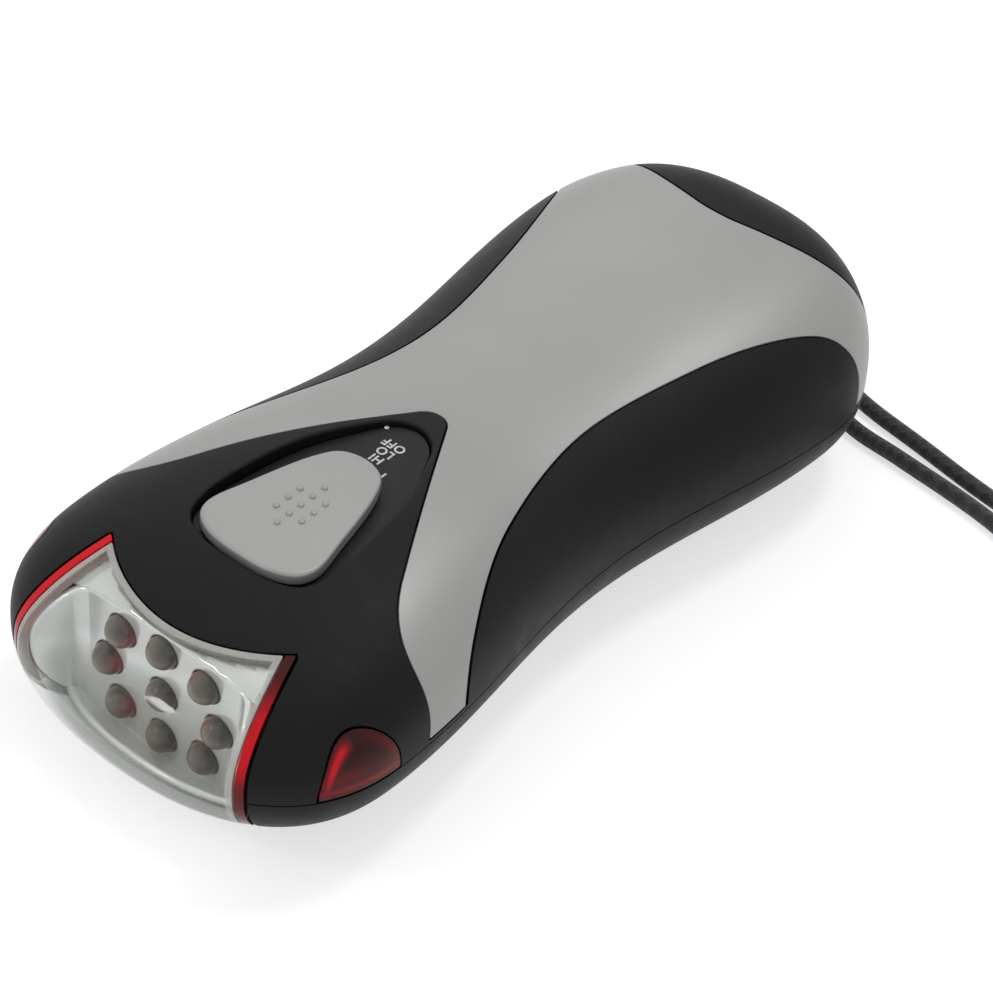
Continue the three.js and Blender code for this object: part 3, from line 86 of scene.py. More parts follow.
# Studio
# A white sweep under a pale sky. A small lamp high over the tail gives the soft shadow, four broad
# ones fill it and a small one in front adds gloss. What the camera, a gloss or a clear part sees
# of the sweep and sky is white.
class Wire:
    """A shader socket that can be used in sums, and that starts further nodes."""

    def __init__(self, tree, socket=None):
        self.tree = tree
        self.socket = socket

    def node(self, kind, inputs=None, settings=None, out=0):
        made = self.tree.nodes.new(f"ShaderNode{kind}")
        for name, value in (settings or {}).items():
            setattr(made, name, value)
        for name, value in (inputs or {}).items():
            if isinstance(value, Wire):
                self.tree.links.new(value.socket, made.inputs[name])
            else:
                made.inputs[name].default_value = value
        return Wire(self.tree, made.outputs[out] if made.outputs else None)

    def sum(self, operation, *values):
        return self.node("Math", dict(enumerate(values)), {"operation": operation})

    def __add__(self, other):
        return self.sum("ADD", self, other)

    def __sub__(self, other):
        return self.sum("SUBTRACT", self, other)

    def __rsub__(self, other):
        return self.sum("SUBTRACT", other, self)

    def __mul__(self, other):
        return self.sum("MULTIPLY", self, other)

    __radd__ = __add__
    __rmul__ = __mul__

    def between(self, low, high):
        """Runs from 0 where the value is low to 1 where it is high."""
        return self.node("MapRange", {0: self, 1: low, 2: high})

    def blend(self, first, second):
        """Mixes two colours by this value."""
        return self.node("Mix", {0: self, 6: first, 7: second}, {"data_type": "RGBA"}, out=2)

    def bump(self, strength, depth):
        """Relief from this height, with its depth in millimetres."""
        return self.node("Bump", {"Strength": strength, "Distance": mm * depth, "Height": self})

    def finish(self, inputs):
        """Ends a material with one plain surface."""
        surface = self.node("BsdfPrincipled", inputs)
        self.node("OutputMaterial", {"Surface": surface})


def new_material(name):
    material = bpy.data.materials.new(name)
    material.use_nodes = True
    material.node_tree.nodes.clear()
    return material, Wire(material.node_tree)


def seen_directly(start):
    """1 for a ray from the camera, from a gloss or through a clear part, and 0 for other rays."""
    camera_ray, gloss_ray, clear_ray = (
        start.node("LightPath", out=f"Is {kind} Ray")
        for kind in ("Camera", "Glossy", "Transmission"))
    return start.sum("MAXIMUM", camera_ray, start.sum("MAXIMUM", gloss_ray, clear_ray))


sky_light = 0.5
world = bpy.data.worlds.new("sky")
bpy.context.scene.world = world
world.use_nodes = True
world.node_tree.nodes.clear()
sky_start = Wire(world.node_tree)
sky_level = seen_directly(sky_start) * (1 - sky_light) + sky_light
sky = sky_start.node("Background", {"Color": (1, 1, 1, 1), "Strength": sky_level})
sky_start.node("OutputWorld", {"Surface": sky})

floor_colour = (0.72, 0.72, 0.72, 1)
floor_lift = 0.62
floor_white, floor_start = new_material("floor_white")
floor_body = floor_start.node("BsdfDiffuse", {"Color": floor_colour})
floor_glow = floor_start.node("Emission", {
    "Color": (1, 1, 1, 1), "Strength": seen_directly(floor_start) * floor_lift,
})
floor_both = floor_start.node("AddShader", {0: floor_body, 1: floor_glow})
floor_start.node("OutputMaterial", {"Surface": floor_both})
floor_reach = 3.0
floor_mesh = bmesh.new()
bmesh.ops.create_circle(floor_mesh, cap_ends=True, segments=64, radius=floor_reach)
floor_data = bpy.data.meshes.new("floor")
floor_mesh.to_mesh(floor_data)
floor_mesh.free()
floor_data.materials.append(floor_white)
floor = shown("floor", floor_data)


def soft_lamp(name, place, size, power):
    lamp_data = bpy.data.lights.new(name, "AREA")
    lamp_data.shape = "SQUARE"
    lamp_data.size = size
    lamp_data.energy = power
    lamp = shown(name, lamp_data)
    lamp.location = place
    lamp.rotation_euler = (camera_aim - Vector(place)).to_track_quat("-Z", "Y").to_euler()


soft_lamp("lamp_above", (-0.25, 0.2, 0.95), 0.6, 0.4)
soft_lamp("lamp_behind", (-0.62, 0.45, 0.62), 0.5, 0.45)
soft_lamp("lamp_right", (0.8, -0.1, 0.45), 0.45, 0.08)
soft_lamp("lamp_front", (-0.35, -0.85, 0.4), 0.45, 0.12)
soft_lamp("lamp_small_above", (0.1, 0.37, 1.05), 0.2, 1.7)
soft_lamp("lamp_small_front", (-0.42, -0.7, 0.7), 0.1, 0.65)


# Wrist cord
# Braided black nylon cord. Both ends run through one hole in the tail and are crimped inside,
# and its loop lies on the floor, past the right edge of the photograph.
mm = 0.001


def through(points, steps, closed=False, pull=0.25):
    """Smooth line through points; pull 0 times its knots evenly and 0.25 by their distance."""
    knots = [Vector(point) for point in points]
    count = len(knots)
    line = []
    for span in range(count if closed else count - 1):
        start, end = knots[span], knots[(span + 1) % count]
        if closed:
            before, after = knots[span - 1], knots[(span + 2) % count]
        else:
            before = knots[span - 1] if span else (2 * start - end if pull else start)
            after = knots[span + 2] if span + 2 < count else (2 * end - start if pull else end)
        first = (start - before).length_squared ** pull
        second = (end - start).length_squared ** pull
        third = (after - end).length_squared ** pull
        leaving = (start - before) / first - (end - before) / (first + second) + (end - start) / second
        arriving = (end - start) / second - (after - start) / (second + third) + (after - end) / third
        for step in range(steps):
            share = step / steps
            line.append(
                start * (2 * share ** 3 - 3 * share ** 2 + 1)
                + end * (3 * share ** 2 - 2 * share ** 3)
                + leaving * second * (share ** 3 - 2 * share ** 2 + share)
                + arriving * second * (share ** 3 - share ** 2)
            )
    if not closed:
        line.append(knots[-1])
    return line


cord_width = 2.6
cord_half_spread = 1.7
cord_end = 68.2
cord_hole_height = 8.2
cord_lie = 1.4
lying = [
    (20.3, 75.8), (33.3, 73.4), (49.2, 70.7), (68, 69.5), (90, 74), (112, 78.5), (128, 75.5),
    (134, 65), (129, 54.5), (114, 50), (92, 53.5), (70, 60.5), (52.3, 66), (33, 68.4), (22.9, 69.4),
]
cord_route = [
    (-cord_half_spread, cord_end, cord_hole_height),
    (-cord_half_spread, 72, cord_hole_height), (-1.4, 76.5, 7.6), (2.4, 80, 4.6), (9, 79.2, 2.2),
    *((x, y, cord_lie) for x, y in lying), (12.5, 72.8, 2.2), (4.8, 75.4, 5), (1.9, 74.4, 7.6),
    (cord_half_spread, cord_end, cord_hole_height),
]
cord_path = [mm * point for point in through(cord_route, 14)]
cord_length = sum((b - a).length for a, b in zip(cord_path, cord_path[1:]))
cord_curve = bpy.data.curves.new("cord_line", "CURVE")
cord_curve.dimensions = "3D"
cord_curve.bevel_depth = mm * cord_width / 2
cord_curve.bevel_resolution = 4
cord_curve.use_fill_caps = True
cord_spline = cord_curve.splines.new("POLY")
cord_spline.points.add(len(cord_path) - 1)
for point, place in zip(cord_spline.points, cord_path):
    point.co = (*place, 1)
cord_maker = bpy.data.objects.new("cord_maker", cord_curve)
cord_data = bpy.data.meshes.new_from_object(cord_maker)
bpy.data.objects.remove(cord_maker)
cord_data.name = "cord"
cord_data.shade_smooth()

cord_black, cord_start = new_material("cord_black")
braid_turns = 3
braid_rows = cord_length / (mm * 2.2)
cord_place = cord_start.node("TexCoord", out=2)
along_cord, round_cord = (
    cord_start.node("SeparateXYZ", {0: cord_place}, out=axis) * (waves * 2 * math.pi)
    for axis, waves in enumerate((braid_rows, braid_turns)))
one_way = cord_start.sum("SINE", along_cord + round_cord)
other_way = cord_start.sum("SINE", along_cord - round_cord)
braid = cord_start.sum("MAXIMUM", one_way, other_way).between(-0.2, 1.0)
cord_fibre = cord_start.node("TexNoise", {
    "Vector": cord_start.node("TexCoord", out=3), "Scale": 5200.0, "Detail": 3.0,
})
cord_colour = (braid * 0.6 + cord_fibre * 0.4).blend((0.004, 0.004, 0.005, 1), (0.03, 0.03, 0.032, 1))
cord_start.finish({
    "Base Color": cord_colour, "Roughness": cord_fibre * 0.2 + 0.6,
    "Normal": (braid + cord_fibre * 0.3).bump(0.7, 0.25), "Sheen Weight": 0.25, "Sheen Roughness": 0.5,
})
cord_data.materials.append(cord_black)
cord = shown("cord_braid", cord_data)
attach(cord, "casing")
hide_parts("wrist_cord")


# Lower casing
# Black moulded half shell with a flat underside, the round well of the crank, four deep screw
# holes and the hole of the cord. Its fine grain comes from the mould.
half_length = 75.0
belt_height = 18.0
floor_sink = 0.8
nose_half_width, nose_widest, nose_plan_power = 32.4, -50.0, 2.35
waist_half_width, waist_place = 26.5, 3.0
tail_half_width, tail_widest, tail_plan_power = 31.3, 50.0, 2.15
nose_top, nose_top_place, nose_top_power = 35.5, -27.975, 2.0
waist_top, waist_top_place = 34.1, 0.0
tail_top, tail_top_place, tail_top_power = 38.1, 60.0, 2.25
nose_floor_place, tail_floor_place, floor_power = -45.0, 62.025, 2.1
upper_power, lower_power = 2.6, 2.2
parting_height = 16.6
fit_gap = 0.3
casing_wall = 2.8


def eased(start, end, share):
    return start + (end - start) * (1 - np.cos(np.pi * np.clip(share, 0, 1))) / 2


def end_round(distance, length, power):
    return (1 - np.clip(distance / length, 0, 1) ** power) ** (1 / power)


def body_section(along, skin):
    """Half width, rise over the belt and depth below it at places along the body."""
    end = half_length - skin
    narrowing = (along - nose_widest) / (waist_place - nose_widest)
    widening = (along - waist_place) / (tail_widest - waist_place)
    half_width = np.select([along < nose_widest, along < waist_place, along < tail_widest], [
        (nose_half_width - skin) * end_round(nose_widest - along, end + nose_widest, nose_plan_power),
        eased(nose_half_width, waist_half_width, narrowing) - skin,
        eased(waist_half_width, tail_half_width, widening) - skin,
    ], (tail_half_width - skin) * end_round(along - tail_widest, end - tail_widest, tail_plan_power))
    sink = belt_height + skin
    nose_rise, tail_rise = nose_top - sink, tail_top - sink
    to_waist = (along - nose_top_place) / (waist_top_place - nose_top_place)
    to_tail = (along - waist_top_place) / (tail_top_place - waist_top_place)
    rise = np.select([along < nose_top_place, along < waist_top_place, along < tail_top_place], [
        nose_rise * end_round(nose_top_place - along, end + nose_top_place, nose_top_power),
        eased(nose_top, waist_top, to_waist) - sink,
        eased(waist_top, tail_top, to_tail) - sink,
    ], tail_rise * end_round(along - tail_top_place, end - tail_top_place, tail_top_power))
    whole_depth = belt_height + floor_sink - skin
    depth = whole_depth * np.select([along < nose_floor_place, along > tail_floor_place], [
        end_round(nose_floor_place - along, end + nose_floor_place, floor_power),
        end_round(along - tail_floor_place, end - tail_floor_place, floor_power),
    ], 1.0)
    return half_width, rise, depth


def inside_body(points, skin):
    """Positive inside the body with a skin taken off, zero on its surface, in about millimetres."""
    half_width, rise, depth = body_section(points[:, 1], skin)
    over = points[:, 2] - belt_height
    power = np.where(over >= 0, upper_power, lower_power)
    reach = np.where(over >= 0, rise, depth)
    across = np.abs(points[:, 0]) / np.maximum(half_width, 0.01)
    up = np.abs(over) / np.maximum(reach, 0.01)
    return (1 - (across ** power + up ** power) ** (1 / power)) * np.minimum(half_width, reach)


grid_cuts = 103
body_grid = bmesh.new()
bmesh.ops.create_cube(body_grid, size=2)
bmesh.ops.subdivide_edges(body_grid, edges=body_grid.edges, cuts=grid_cuts, use_grid_fill=True)


def places_of(shape):
    return np.array([corner.co[:] for corner in shape.verts])


def trim(sheet, keep, drop=True, shortest=0.14):
    """Cuts a sheet where keep passes zero, and drops the side on which it is negative."""
    sheet.verts.index_update()
    corners = list(sheet.verts)
    places = places_of(sheet)
    value = keep(places)
    value[np.abs(value) < 1e-4] = 0
    ends = np.array([[corner.index for corner in edge.verts] for edge in sheet.edges])
    ends = ends[value[ends[:, 0]] * value[ends[:, 1]] < 0]
    start, end = ends[:, 0], ends[:, 1]
    share = value[start] / (value[start] - value[end])
    crossing = places[start] + share[:, None] * (places[end] - places[start])
    mover = np.where(share < 0.5, start, end)
    for index in np.argsort(-np.minimum(share, 1 - share)):
        corners[mover[index]].co = crossing[index]
        value[mover[index]] = 0
    on_line = [corner for corner in corners if value[corner.index] == 0]
    for face in {face for corner in on_line for face in corner.link_faces}:
        signs = [value[corner.index] for corner in face.verts]
        if min(signs) < 0 < max(signs):
            around = list(face.verts)
            zeros = [place for place, corner in enumerate(around) if value[corner.index] == 0]
            pairs = [(a, b) for a in zeros for b in zeros if 1 < b - a < len(around) - 1]
            if pairs:
                bmesh.utils.face_split(face, around[pairs[0][0]], around[pairs[0][1]])
    if drop:
        gone = []
        for face in sheet.faces:
            signs = [value[corner.index] for corner in face.verts]
            flat = not any(signs) and keep(np.array([face.calc_center_median()[:]]))[0] < 0
            if min(signs) < 0 or flat:
                gone.append(face)
        bmesh.ops.delete(sheet, geom=gone, context="FACES")
    merged = {}
    for corner in on_line:
        if not corner.is_valid or corner in merged:
            continue
        for edge in corner.link_edges:
            other = edge.other_vert(corner)
            if edge.calc_length() < shortest and other not in merged and other not in merged.values():
                merged[other] = corner
                break
    bmesh.ops.weld_verts(sheet, targetmap=merged)


def body_sheet(skin):
    """Fine surface of the body with a skin taken off, and with its underside made flat."""
    sheet = body_grid.copy()
    way = np.tan(places_of(sheet) * np.pi / 4)
    way /= np.linalg.norm(way, axis=1)[:, None]
    along = (half_length - skin) * way[:, 1]
    half_width, rise, depth = body_section(along, skin)
    round_about = np.maximum(np.hypot(way[:, 0], way[:, 2]), 1e-9)
    across, up = way[:, 0] / round_about, way[:, 2] / round_about
    power = np.where(up >= 0, upper_power, lower_power)
    reach = (np.abs(across) ** power + np.abs(up) ** power) ** (-1 / power)
    height = belt_height + np.where(up >= 0, rise, depth) * up * reach
    for corner, place in zip(sheet.verts, zip(half_width * across * reach, along, height)):
        corner.co = place
    trim(sheet, above(skin), drop=False)
    for corner in sheet.verts:
        corner.co.z = max(corner.co.z, skin)
    return sheet


sharp_from, bevel_from = math.radians(35), math.radians(50)


def finished(shape, name, material, replaced=(), wall=0, edge=0, segments=2, body="casing"):
    """Makes a piece in metres from a shape in millimetres, with an inward wall and broken edges."""
    shape.transform(Matrix.Scale(mm, 4))
    data = bpy.data.meshes.new(name)
    shape.to_mesh(data)
    shape.free()
    data.shade_smooth()
    data.set_sharp_from_angle(angle=sharp_from)
    data.materials.append(material)
    piece = shown(name, data)
    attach(piece, body)
    if replaced:
        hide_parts(*replaced)
    if wall:
        solidify = piece.modifiers.new("wall", "SOLIDIFY")
        solidify.thickness = mm * wall
        solidify.offset = -1
        solidify.use_even_offset = True
    if edge:
        bevel = piece.modifiers.new("edge", "BEVEL")
        bevel.width = mm * edge
        bevel.segments = segments
        bevel.limit_method = "ANGLE"
        bevel.angle_limit = bevel_from
        bevel.harden_normals = True


def outside_circle(x, y, radius):
    return lambda points: np.hypot(points[:, 0] - x, points[:, 1] - y) - radius


def above(height):
    return lambda points: points[:, 2] - height


def grain(start, scale, detail=3.0, stretch=(1, 1, 1)):
    """Noise on object coordinates, with its scale in grains to the metre."""
    place = start.node("Mapping", {"Vector": start.node("TexCoord", out=3), "Scale": stretch})
    return start.node("TexNoise", {"Vector": place, "Scale": scale, "Detail": detail})


def moulded_plastic(name, dark, light, rough, grain_depth, coat=0.0, gloss=0.5):
    """Plastic with a mould's fine grain, faint flow marks and a few rubbed patches."""
    material, start = new_material(name)
    fine = grain(start, 3800.0)
    broad = grain(start, 55.0, 4.0)
    rubbed = grain(start, 260.0, 6.0).between(0.52, 0.8)
    tone = broad.between(0.3, 0.7) * 0.7 + fine * 0.3
    start.finish({
        "Base Color": tone.blend((*dark, 1), (*light, 1)),
        "Roughness": (fine - 0.5) * 0.12 + (rough - rubbed * 0.1),
        "Normal": (fine + broad * 0.2).bump(0.5, grain_depth),
        "Coat Weight": coat, "Coat Roughness": 0.2, "Specular IOR Level": gloss,
    })
    return material


casing_black = moulded_plastic(
    "casing_black", (0.0055, 0.0055, 0.0057), (0.0095, 0.0092, 0.009), 0.5, 0.04, gloss=0.14)
lens_corner, lens_corner_place, lens_dip, lens_flare = 16.2, -56.775, 5.7, 0.31
lens_floor, lens_wall = 3.0, 1.5
strip_width = 1.0
opening_side = strip_width + 2 * fit_gap


def plan_distance(outline):
    """Distance to the edge of an outline seen from above, positive inside it."""
    line = np.array(outline)
    following = np.roll(line, -1, axis=0)
    run = following - line

    def measure(points):
        best = np.full(len(points), np.inf)
        inside = np.zeros(len(points), bool)
        x, y = points[:, 0], points[:, 1]
        for (ax, ay), (bx, by), (dx, dy) in zip(line, following, run):
            share = np.clip(((x - ax) * dx + (y - ay) * dy) / (dx * dx + dy * dy), 0, 1)
            best = np.minimum(best, np.hypot(x - ax - share * dx, y - ay - share * dy))
            if ay != by:
                inside ^= ((ay > y) != (by > y)) & (x < ax + (y - ay) / (by - ay) * (bx - ax))
        return np.where(inside, best, -best)

    return measure


def lens_plan(side_extra, rear_extra):
    """Outline of the lens seen from above, with its sides and its rear arc moved outward."""
    arc_radius = (lens_corner ** 2 + lens_dip ** 2) / (2 * lens_dip) - rear_extra
    arc_centre = lens_corner_place - lens_dip + arc_radius + rear_extra
    corner = lens_corner + side_extra
    arc_steps = 24
    half = []
    for step in range(arc_steps + 1):
        x = corner * step / arc_steps
        half.append((x, arc_centre - math.sqrt(arc_radius ** 2 - x ** 2)))
    far = -half_length - corner
    half.append((corner + lens_flare * (half[-1][1] - far), far))
    return half + [(-x, y) for x, y in reversed(half[1:])]


in_opening = plan_distance(lens_plan(opening_side, fit_gap))


def off_opening(points):
    """Positive outside the opening for the lens, which starts a little over the underside."""
    return np.maximum(-in_opening(points), lens_floor - fit_gap - points[:, 2])


drum_place, drum_radius, well_gap, well_wall, well_top = 42.0, 17.0, 0.5, 1.6, 15.2
screw_places = [(22, -39.975), (-22, -39.975), (14, 64), (-14, 64)]
bore_radius, bore_top, passage_radius, boss_radius = 2.3, 11.2, 1.4, 3.3
lower_top = parting_height - fit_gap / 2
same_place = 0.001
cord_play, tail_wall_reach = 0.4, 20
cord_hole_radius = cord_width / 2 + cord_play


def off_cord_hole(points):
    """Rounded slot in the tail wall."""
    beyond = np.maximum(np.abs(points[:, 0]) - cord_half_spread, 0)
    slot_distance = np.hypot(beyond, points[:, 2] - cord_hole_height) - cord_hole_radius
    return np.maximum(slot_distance, cord_end - tail_wall_reach - points[:, 1])


def ring(shape, profile, x, y, steps, closed=True):
    """Turns a profile of [radius, height] pairs about an upright axis."""
    corners = [shape.verts.new((x + radius, y, height)) for radius, height in profile]
    following = corners[1:] + (corners[:1] if closed else [])
    edges = [shape.edges.new(pair) for pair in zip(corners, following)]
    bmesh.ops.spin(
        shape, geom=corners + edges, cent=(x, y, 0), axis=(0, 0, 1), angle=2 * math.pi,
        steps=steps, use_merge=True,
    )


def joined(shape):
    """Joins the corners of a shape that meet, and turns its faces outward."""
    bmesh.ops.remove_doubles(shape, verts=shape.verts, dist=same_place)
    shape.normal_update()
    bmesh.ops.recalc_face_normals(shape, faces=shape.faces)


lower_shape = body_sheet(0)
trim(lower_shape, lambda points: lower_top - points[:, 2])
trim(lower_shape, off_opening)
trim(lower_shape, outside_circle(0, drum_place, drum_radius + well_gap))
for x, y in screw_places:
    trim(lower_shape, outside_circle(x, y, bore_radius))
trim(lower_shape, off_cord_hole)
finished(
    lower_shape, "lower_shell", casing_black, ["lower_casing"],
    wall=casing_wall, edge=0.1)

well_step = 0.02
wall_start = 1.4
underside_share = 0.62
well_shape = bmesh.new()
well_radius = drum_radius + well_gap + well_step
ring(well_shape, [
    (well_radius, wall_start), (well_radius, well_top),
    (well_radius + well_wall, well_top), (well_radius + well_wall, wall_start),
], 0, drum_place, steps=96)
for x, y in screw_places:
    floor_here = belt_height - body_section(np.array([float(y)]), 0)[2][0] * underside_share
    foot = max(floor_here, 0) + wall_start
    ring(well_shape, [
        (bore_radius + well_step, foot), (bore_radius + well_step, bore_top), (passage_radius, bore_top),
        (passage_radius, lower_top), (boss_radius, lower_top), (boss_radius, foot),
    ], x, y, steps=32)
joined(well_shape)
finished(well_shape, "well_and_bosses", casing_black, edge=0.15)


# Crank
# The drum, arm and knob are black mouldings. The arm turns on a steel pin in the drum's face and
# folds into its slot, with the knob in a pocket, so that the underside stays flat.
dark_moulding = moulded_plastic(
    "dark_moulding", (0.008, 0.008, 0.008), (0.013, 0.013, 0.013), 0.42, 0.04, gloss=0.25)


def metal(name, dark, light, rough, line_scale, stretch):
    """Metal with fine drawn or turned lines, dull patches and faint stains."""
    material, start = new_material(name)
    lines = grain(start, line_scale, 2.0, stretch)
    stain = grain(start, 140.0, 5.0)
    start.finish({
        "Base Color": (lines * 0.4 + stain * 0.6).between(0.3, 0.7).blend((*dark, 1), (*light, 1)),
        "Roughness": lines * 0.12 + stain.between(0.5, 0.75) * 0.12 + rough,
        "Normal": lines.bump(0.4, 0.02), "Metallic": 1.0,
    })
    return material


steel = metal("steel", (0.34, 0.34, 0.35), (0.56, 0.56, 0.57), 0.22, 900.0, (6, 1, 1))


def dressed(material, *starts):
    """Gives a finish to the nodes that stay as they are and whose names start like this."""
    for node in bpy.data.objects:
        if node.name.startswith(starts):
            for holder in node.material_slots:
                holder.material = material


def softened(node, body, material, edge):
    """Copy of a node of the frame with its sharp edges broken, in place of the node."""
    holder = bpy.data.objects[node]
    shape = bmesh.new()
    shape.from_mesh(holder.data)
    shape.transform(Matrix.Scale(1 / mm, 4) @ holder.matrix_world)
    joined(shape)
    bmesh.ops.dissolve_limit(shape, angle_limit=math.radians(1), verts=shape.verts, edges=shape.edges)
    finished(shape, f"{node}_shape", material, [node], edge=edge, segments=3, body=body)


softened("crank_drum", "crank", dark_moulding, 0.3)
softened("crank_arm", "arm", casing_black, 0.35)
softened("crank_knob", "knob", dark_moulding, 0.4)
dressed(steel, "crank_hinge_pin", "knob_pin", "crank_shaft", "casing_screw_")


# Upper casing
# Black moulded half shell: the hood round the switch, the side grips and the tail cap are one
# piece, sunk where the silver cover lies on it.
cover_wall = 1.2
cover_floor = 17.6
seat_wall, seat_margin = 1.2, 1.2
seam_half = 0.08
upper_start = parting_height + seam_half
hood_apex, hood_radius, hood_angle, hood_flank_end = -7.2, 3.0, math.radians(30.6), -35.625
hood_shoulder, arm_front = (23.4, -44.4), (30.0, -44.4)
cover_reach = 38.0
side_points = [
    (cover_reach, -44.025), (29.602, -33), (20.9, -15.825), (15.884, 6),
    (19, 29.025), (24.586, 47.025), (29.412, 54.975), (cover_reach, 63.975),
]
tail_points = [(cover_reach, 75.975), (22.8, 63.825), (13.984, 59.625), (4.5, 57.3), (0, 56.9)]


def cover_plan():
    """Outline of the silver cover seen from above: hood arc, flank, shoulder, side and tail."""
    centre = hood_apex - hood_radius
    arc_steps = 12
    half = []
    for step in range(arc_steps + 1):
        angle = math.pi / 2 + (hood_angle - math.pi / 2) * step / arc_steps
        half.append((hood_radius * math.cos(angle), centre + hood_radius * math.sin(angle)))
    last_x, last_y = half[-1]
    flank_x = last_x + (last_y - hood_flank_end) * math.tan(hood_angle)
    shoulder_steps = 14
    for step in range(shoulder_steps + 1):
        share = step / shoulder_steps
        ahead, held, behind = (1 - share) ** 2, 2 * share * (1 - share), share ** 2
        half.append((
            ahead * flank_x + held * hood_shoulder[0] + behind * arm_front[0],
            ahead * hood_flank_end + held * hood_shoulder[1] + behind * arm_front[1],
        ))
    half.append((cover_reach, arm_front[1]))
    half += through(side_points, 10, pull=0)[1:]
    half += through(tail_points, 10, pull=0)
    return [tuple(point) for point in half] + [(-x, y) for x, y in reversed(half) if x > same_place]


in_cover = plan_distance(cover_plan())
recess_half = [
    (0, -49.575), (6.48, -49.125), (10.596, -47.1), (12, -42.525), (11.4, -33.975),
    (9.6, -24.975), (6.66, -18.225), (3.696, -13.2), (0, -11.625),
]


def mirrored_loop(half):
    """Smooth closed outline through a half row of points and its mirror image."""
    others = [(-x, y) for x, y in reversed(half) if x]
    return [tuple(point) for point in through(half + others, 6, closed=True)]


recess_plan = mirrored_loop(recess_half)
recess_front = recess_half[0][1]
recess_floor, recess_slope = 30.8, 0.045
in_recess = plan_distance(recess_plan)
window_place, window_half_width, window_height = -56.775, 6.3, 8.8
window_floor = parting_height + fit_gap


def in_window(extra):
    """Positive inside the half oval of a side window, moved outward by extra."""
    return lambda points: window_half_width * (1 - np.hypot(
        (points[:, 1] - window_place) / (window_half_width + extra),
        (points[:, 2] - window_floor + extra) / (window_height + 2 * extra)))


def finer(sheet, near, cuts=1):
    """Splits the faces of a sheet where near is positive at all their corners."""
    sheet.verts.index_update()
    value = near(places_of(sheet))
    edges = [edge for edge in sheet.edges if all(value[corner.index] > 0 for corner in edge.verts)]
    bmesh.ops.subdivide_edges(sheet, edges=edges, cuts=cuts, use_grid_fill=True)


def close_to(distance, reach):
    """Positive within reach of the line where distance is zero."""
    return lambda points: reach - np.abs(distance(points))


upper_shape = body_sheet(0)
trim(upper_shape, above(upper_start))
trim(upper_shape, off_opening)
trim(upper_shape, lambda points: np.maximum(
    -in_cover(points) - fit_gap / 2, cover_floor - fit_gap - points[:, 2]))
recess_lip = 0.45
finer(upper_shape, close_to(in_recess, reach=3))
trim(upper_shape, lambda points: -in_recess(points) - recess_lip)
lip_steps, lip_slack, slope_step = 5, 0.05, 0.01
off_lip = np.abs(in_recess(places_of(upper_shape)) + recess_lip)
lip_ends = {end for end, off in zip(upper_shape.verts, off_lip) if off < lip_slack}
lip_edges = [edge for edge in upper_shape.edges if edge.is_boundary and lip_ends.issuperset(edge.verts)]
for step in range(1, lip_steps + 2):
    grown = bmesh.ops.extrude_edge_only(upper_shape, edges=lip_edges)["geom"]
    lip_edges = [item for item in grown if isinstance(item, bmesh.types.BMEdge) and item.is_boundary]
    ends = list({end for edge in lip_edges for end in edge.verts})
    places = np.array([end.co[:] for end in ends])
    turn_here, turn_before = (math.pi / 2 * min(k, lip_steps) / lip_steps for k in (step, step - 1))
    inward = recess_lip * (math.sin(turn_here) - math.sin(turn_before))
    downward = recess_lip * (math.cos(turn_before) - math.cos(turn_here))
    slopes = [(in_recess(places + shift) - in_recess(places - shift)) / (2 * slope_step)
              for shift in np.eye(3)[:2] * slope_step]
    for end, slope_x, slope_y in zip(ends, *slopes):
        end.co.x += slope_x * inward
        end.co.y += slope_y * inward
        end.co.z -= downward
        if step > lip_steps:
            end.co.z = recess_floor + recess_slope * (end.co.y - recess_front)
trim(upper_shape, lambda points: -in_window(fit_gap)(points))
finished(
    upper_shape, "upper_shell", casing_black, ["upper_casing"],
    wall=casing_wall, edge=0.12)
seat_shape = body_sheet(cover_wall + fit_gap)
trim(seat_shape, above(upper_start + fit_gap))
trim(seat_shape, lambda points: in_cover(points) + seat_margin)
finished(seat_shape, "cover_seat", casing_black, wall=seat_wall)


# Top cover
# Silver painted moulding, 1.2 mm thick, that lies in the sunk part of the upper casing. The paint
# is an even satin with a very fine metal flake.
silver_paint, silver_start = new_material("silver_paint")
flake = grain(silver_start, 6500.0, 2.0)
cloud = grain(silver_start, 38.0, 3.0)
peel = grain(silver_start, 900.0, 2.0)
scuff = grain(silver_start, 420.0, 8.0, (1, 5, 1)).between(0.62, 0.8)
silver_tone = (flake * 0.45 + cloud * 0.55).between(0.3, 0.7)
silver_start.finish({
    "Base Color": silver_tone.blend((0.335, 0.335, 0.328, 1), (0.385, 0.383, 0.375, 1)),
    "Roughness": flake * 0.08 + scuff * 0.1 + 0.38, "Metallic": 0.35,
    "Normal": (peel + flake * 0.25).bump(0.25, 0.03),
})

cover_shape = body_sheet(0)
trim(cover_shape, lambda points: in_cover(points) - fit_gap / 2)
trim(cover_shape, above(cover_floor))
finished(
    cover_shape, "cover_skin", silver_paint, ["top_cover"], wall=cover_wall, edge=0.2)


# Red windows
# Clear red mouldings behind the lens opening: each has an oval pane in the side of the nose and a thin strip
# that follows the side of the lens. Their light edges, light lines and dark parts are painted light and
# shade.
def stored(start, name):
    """The value kept under a name on the corners of a piece."""
    return start.node("Attribute", settings={"attribute_name": name}, out=2)


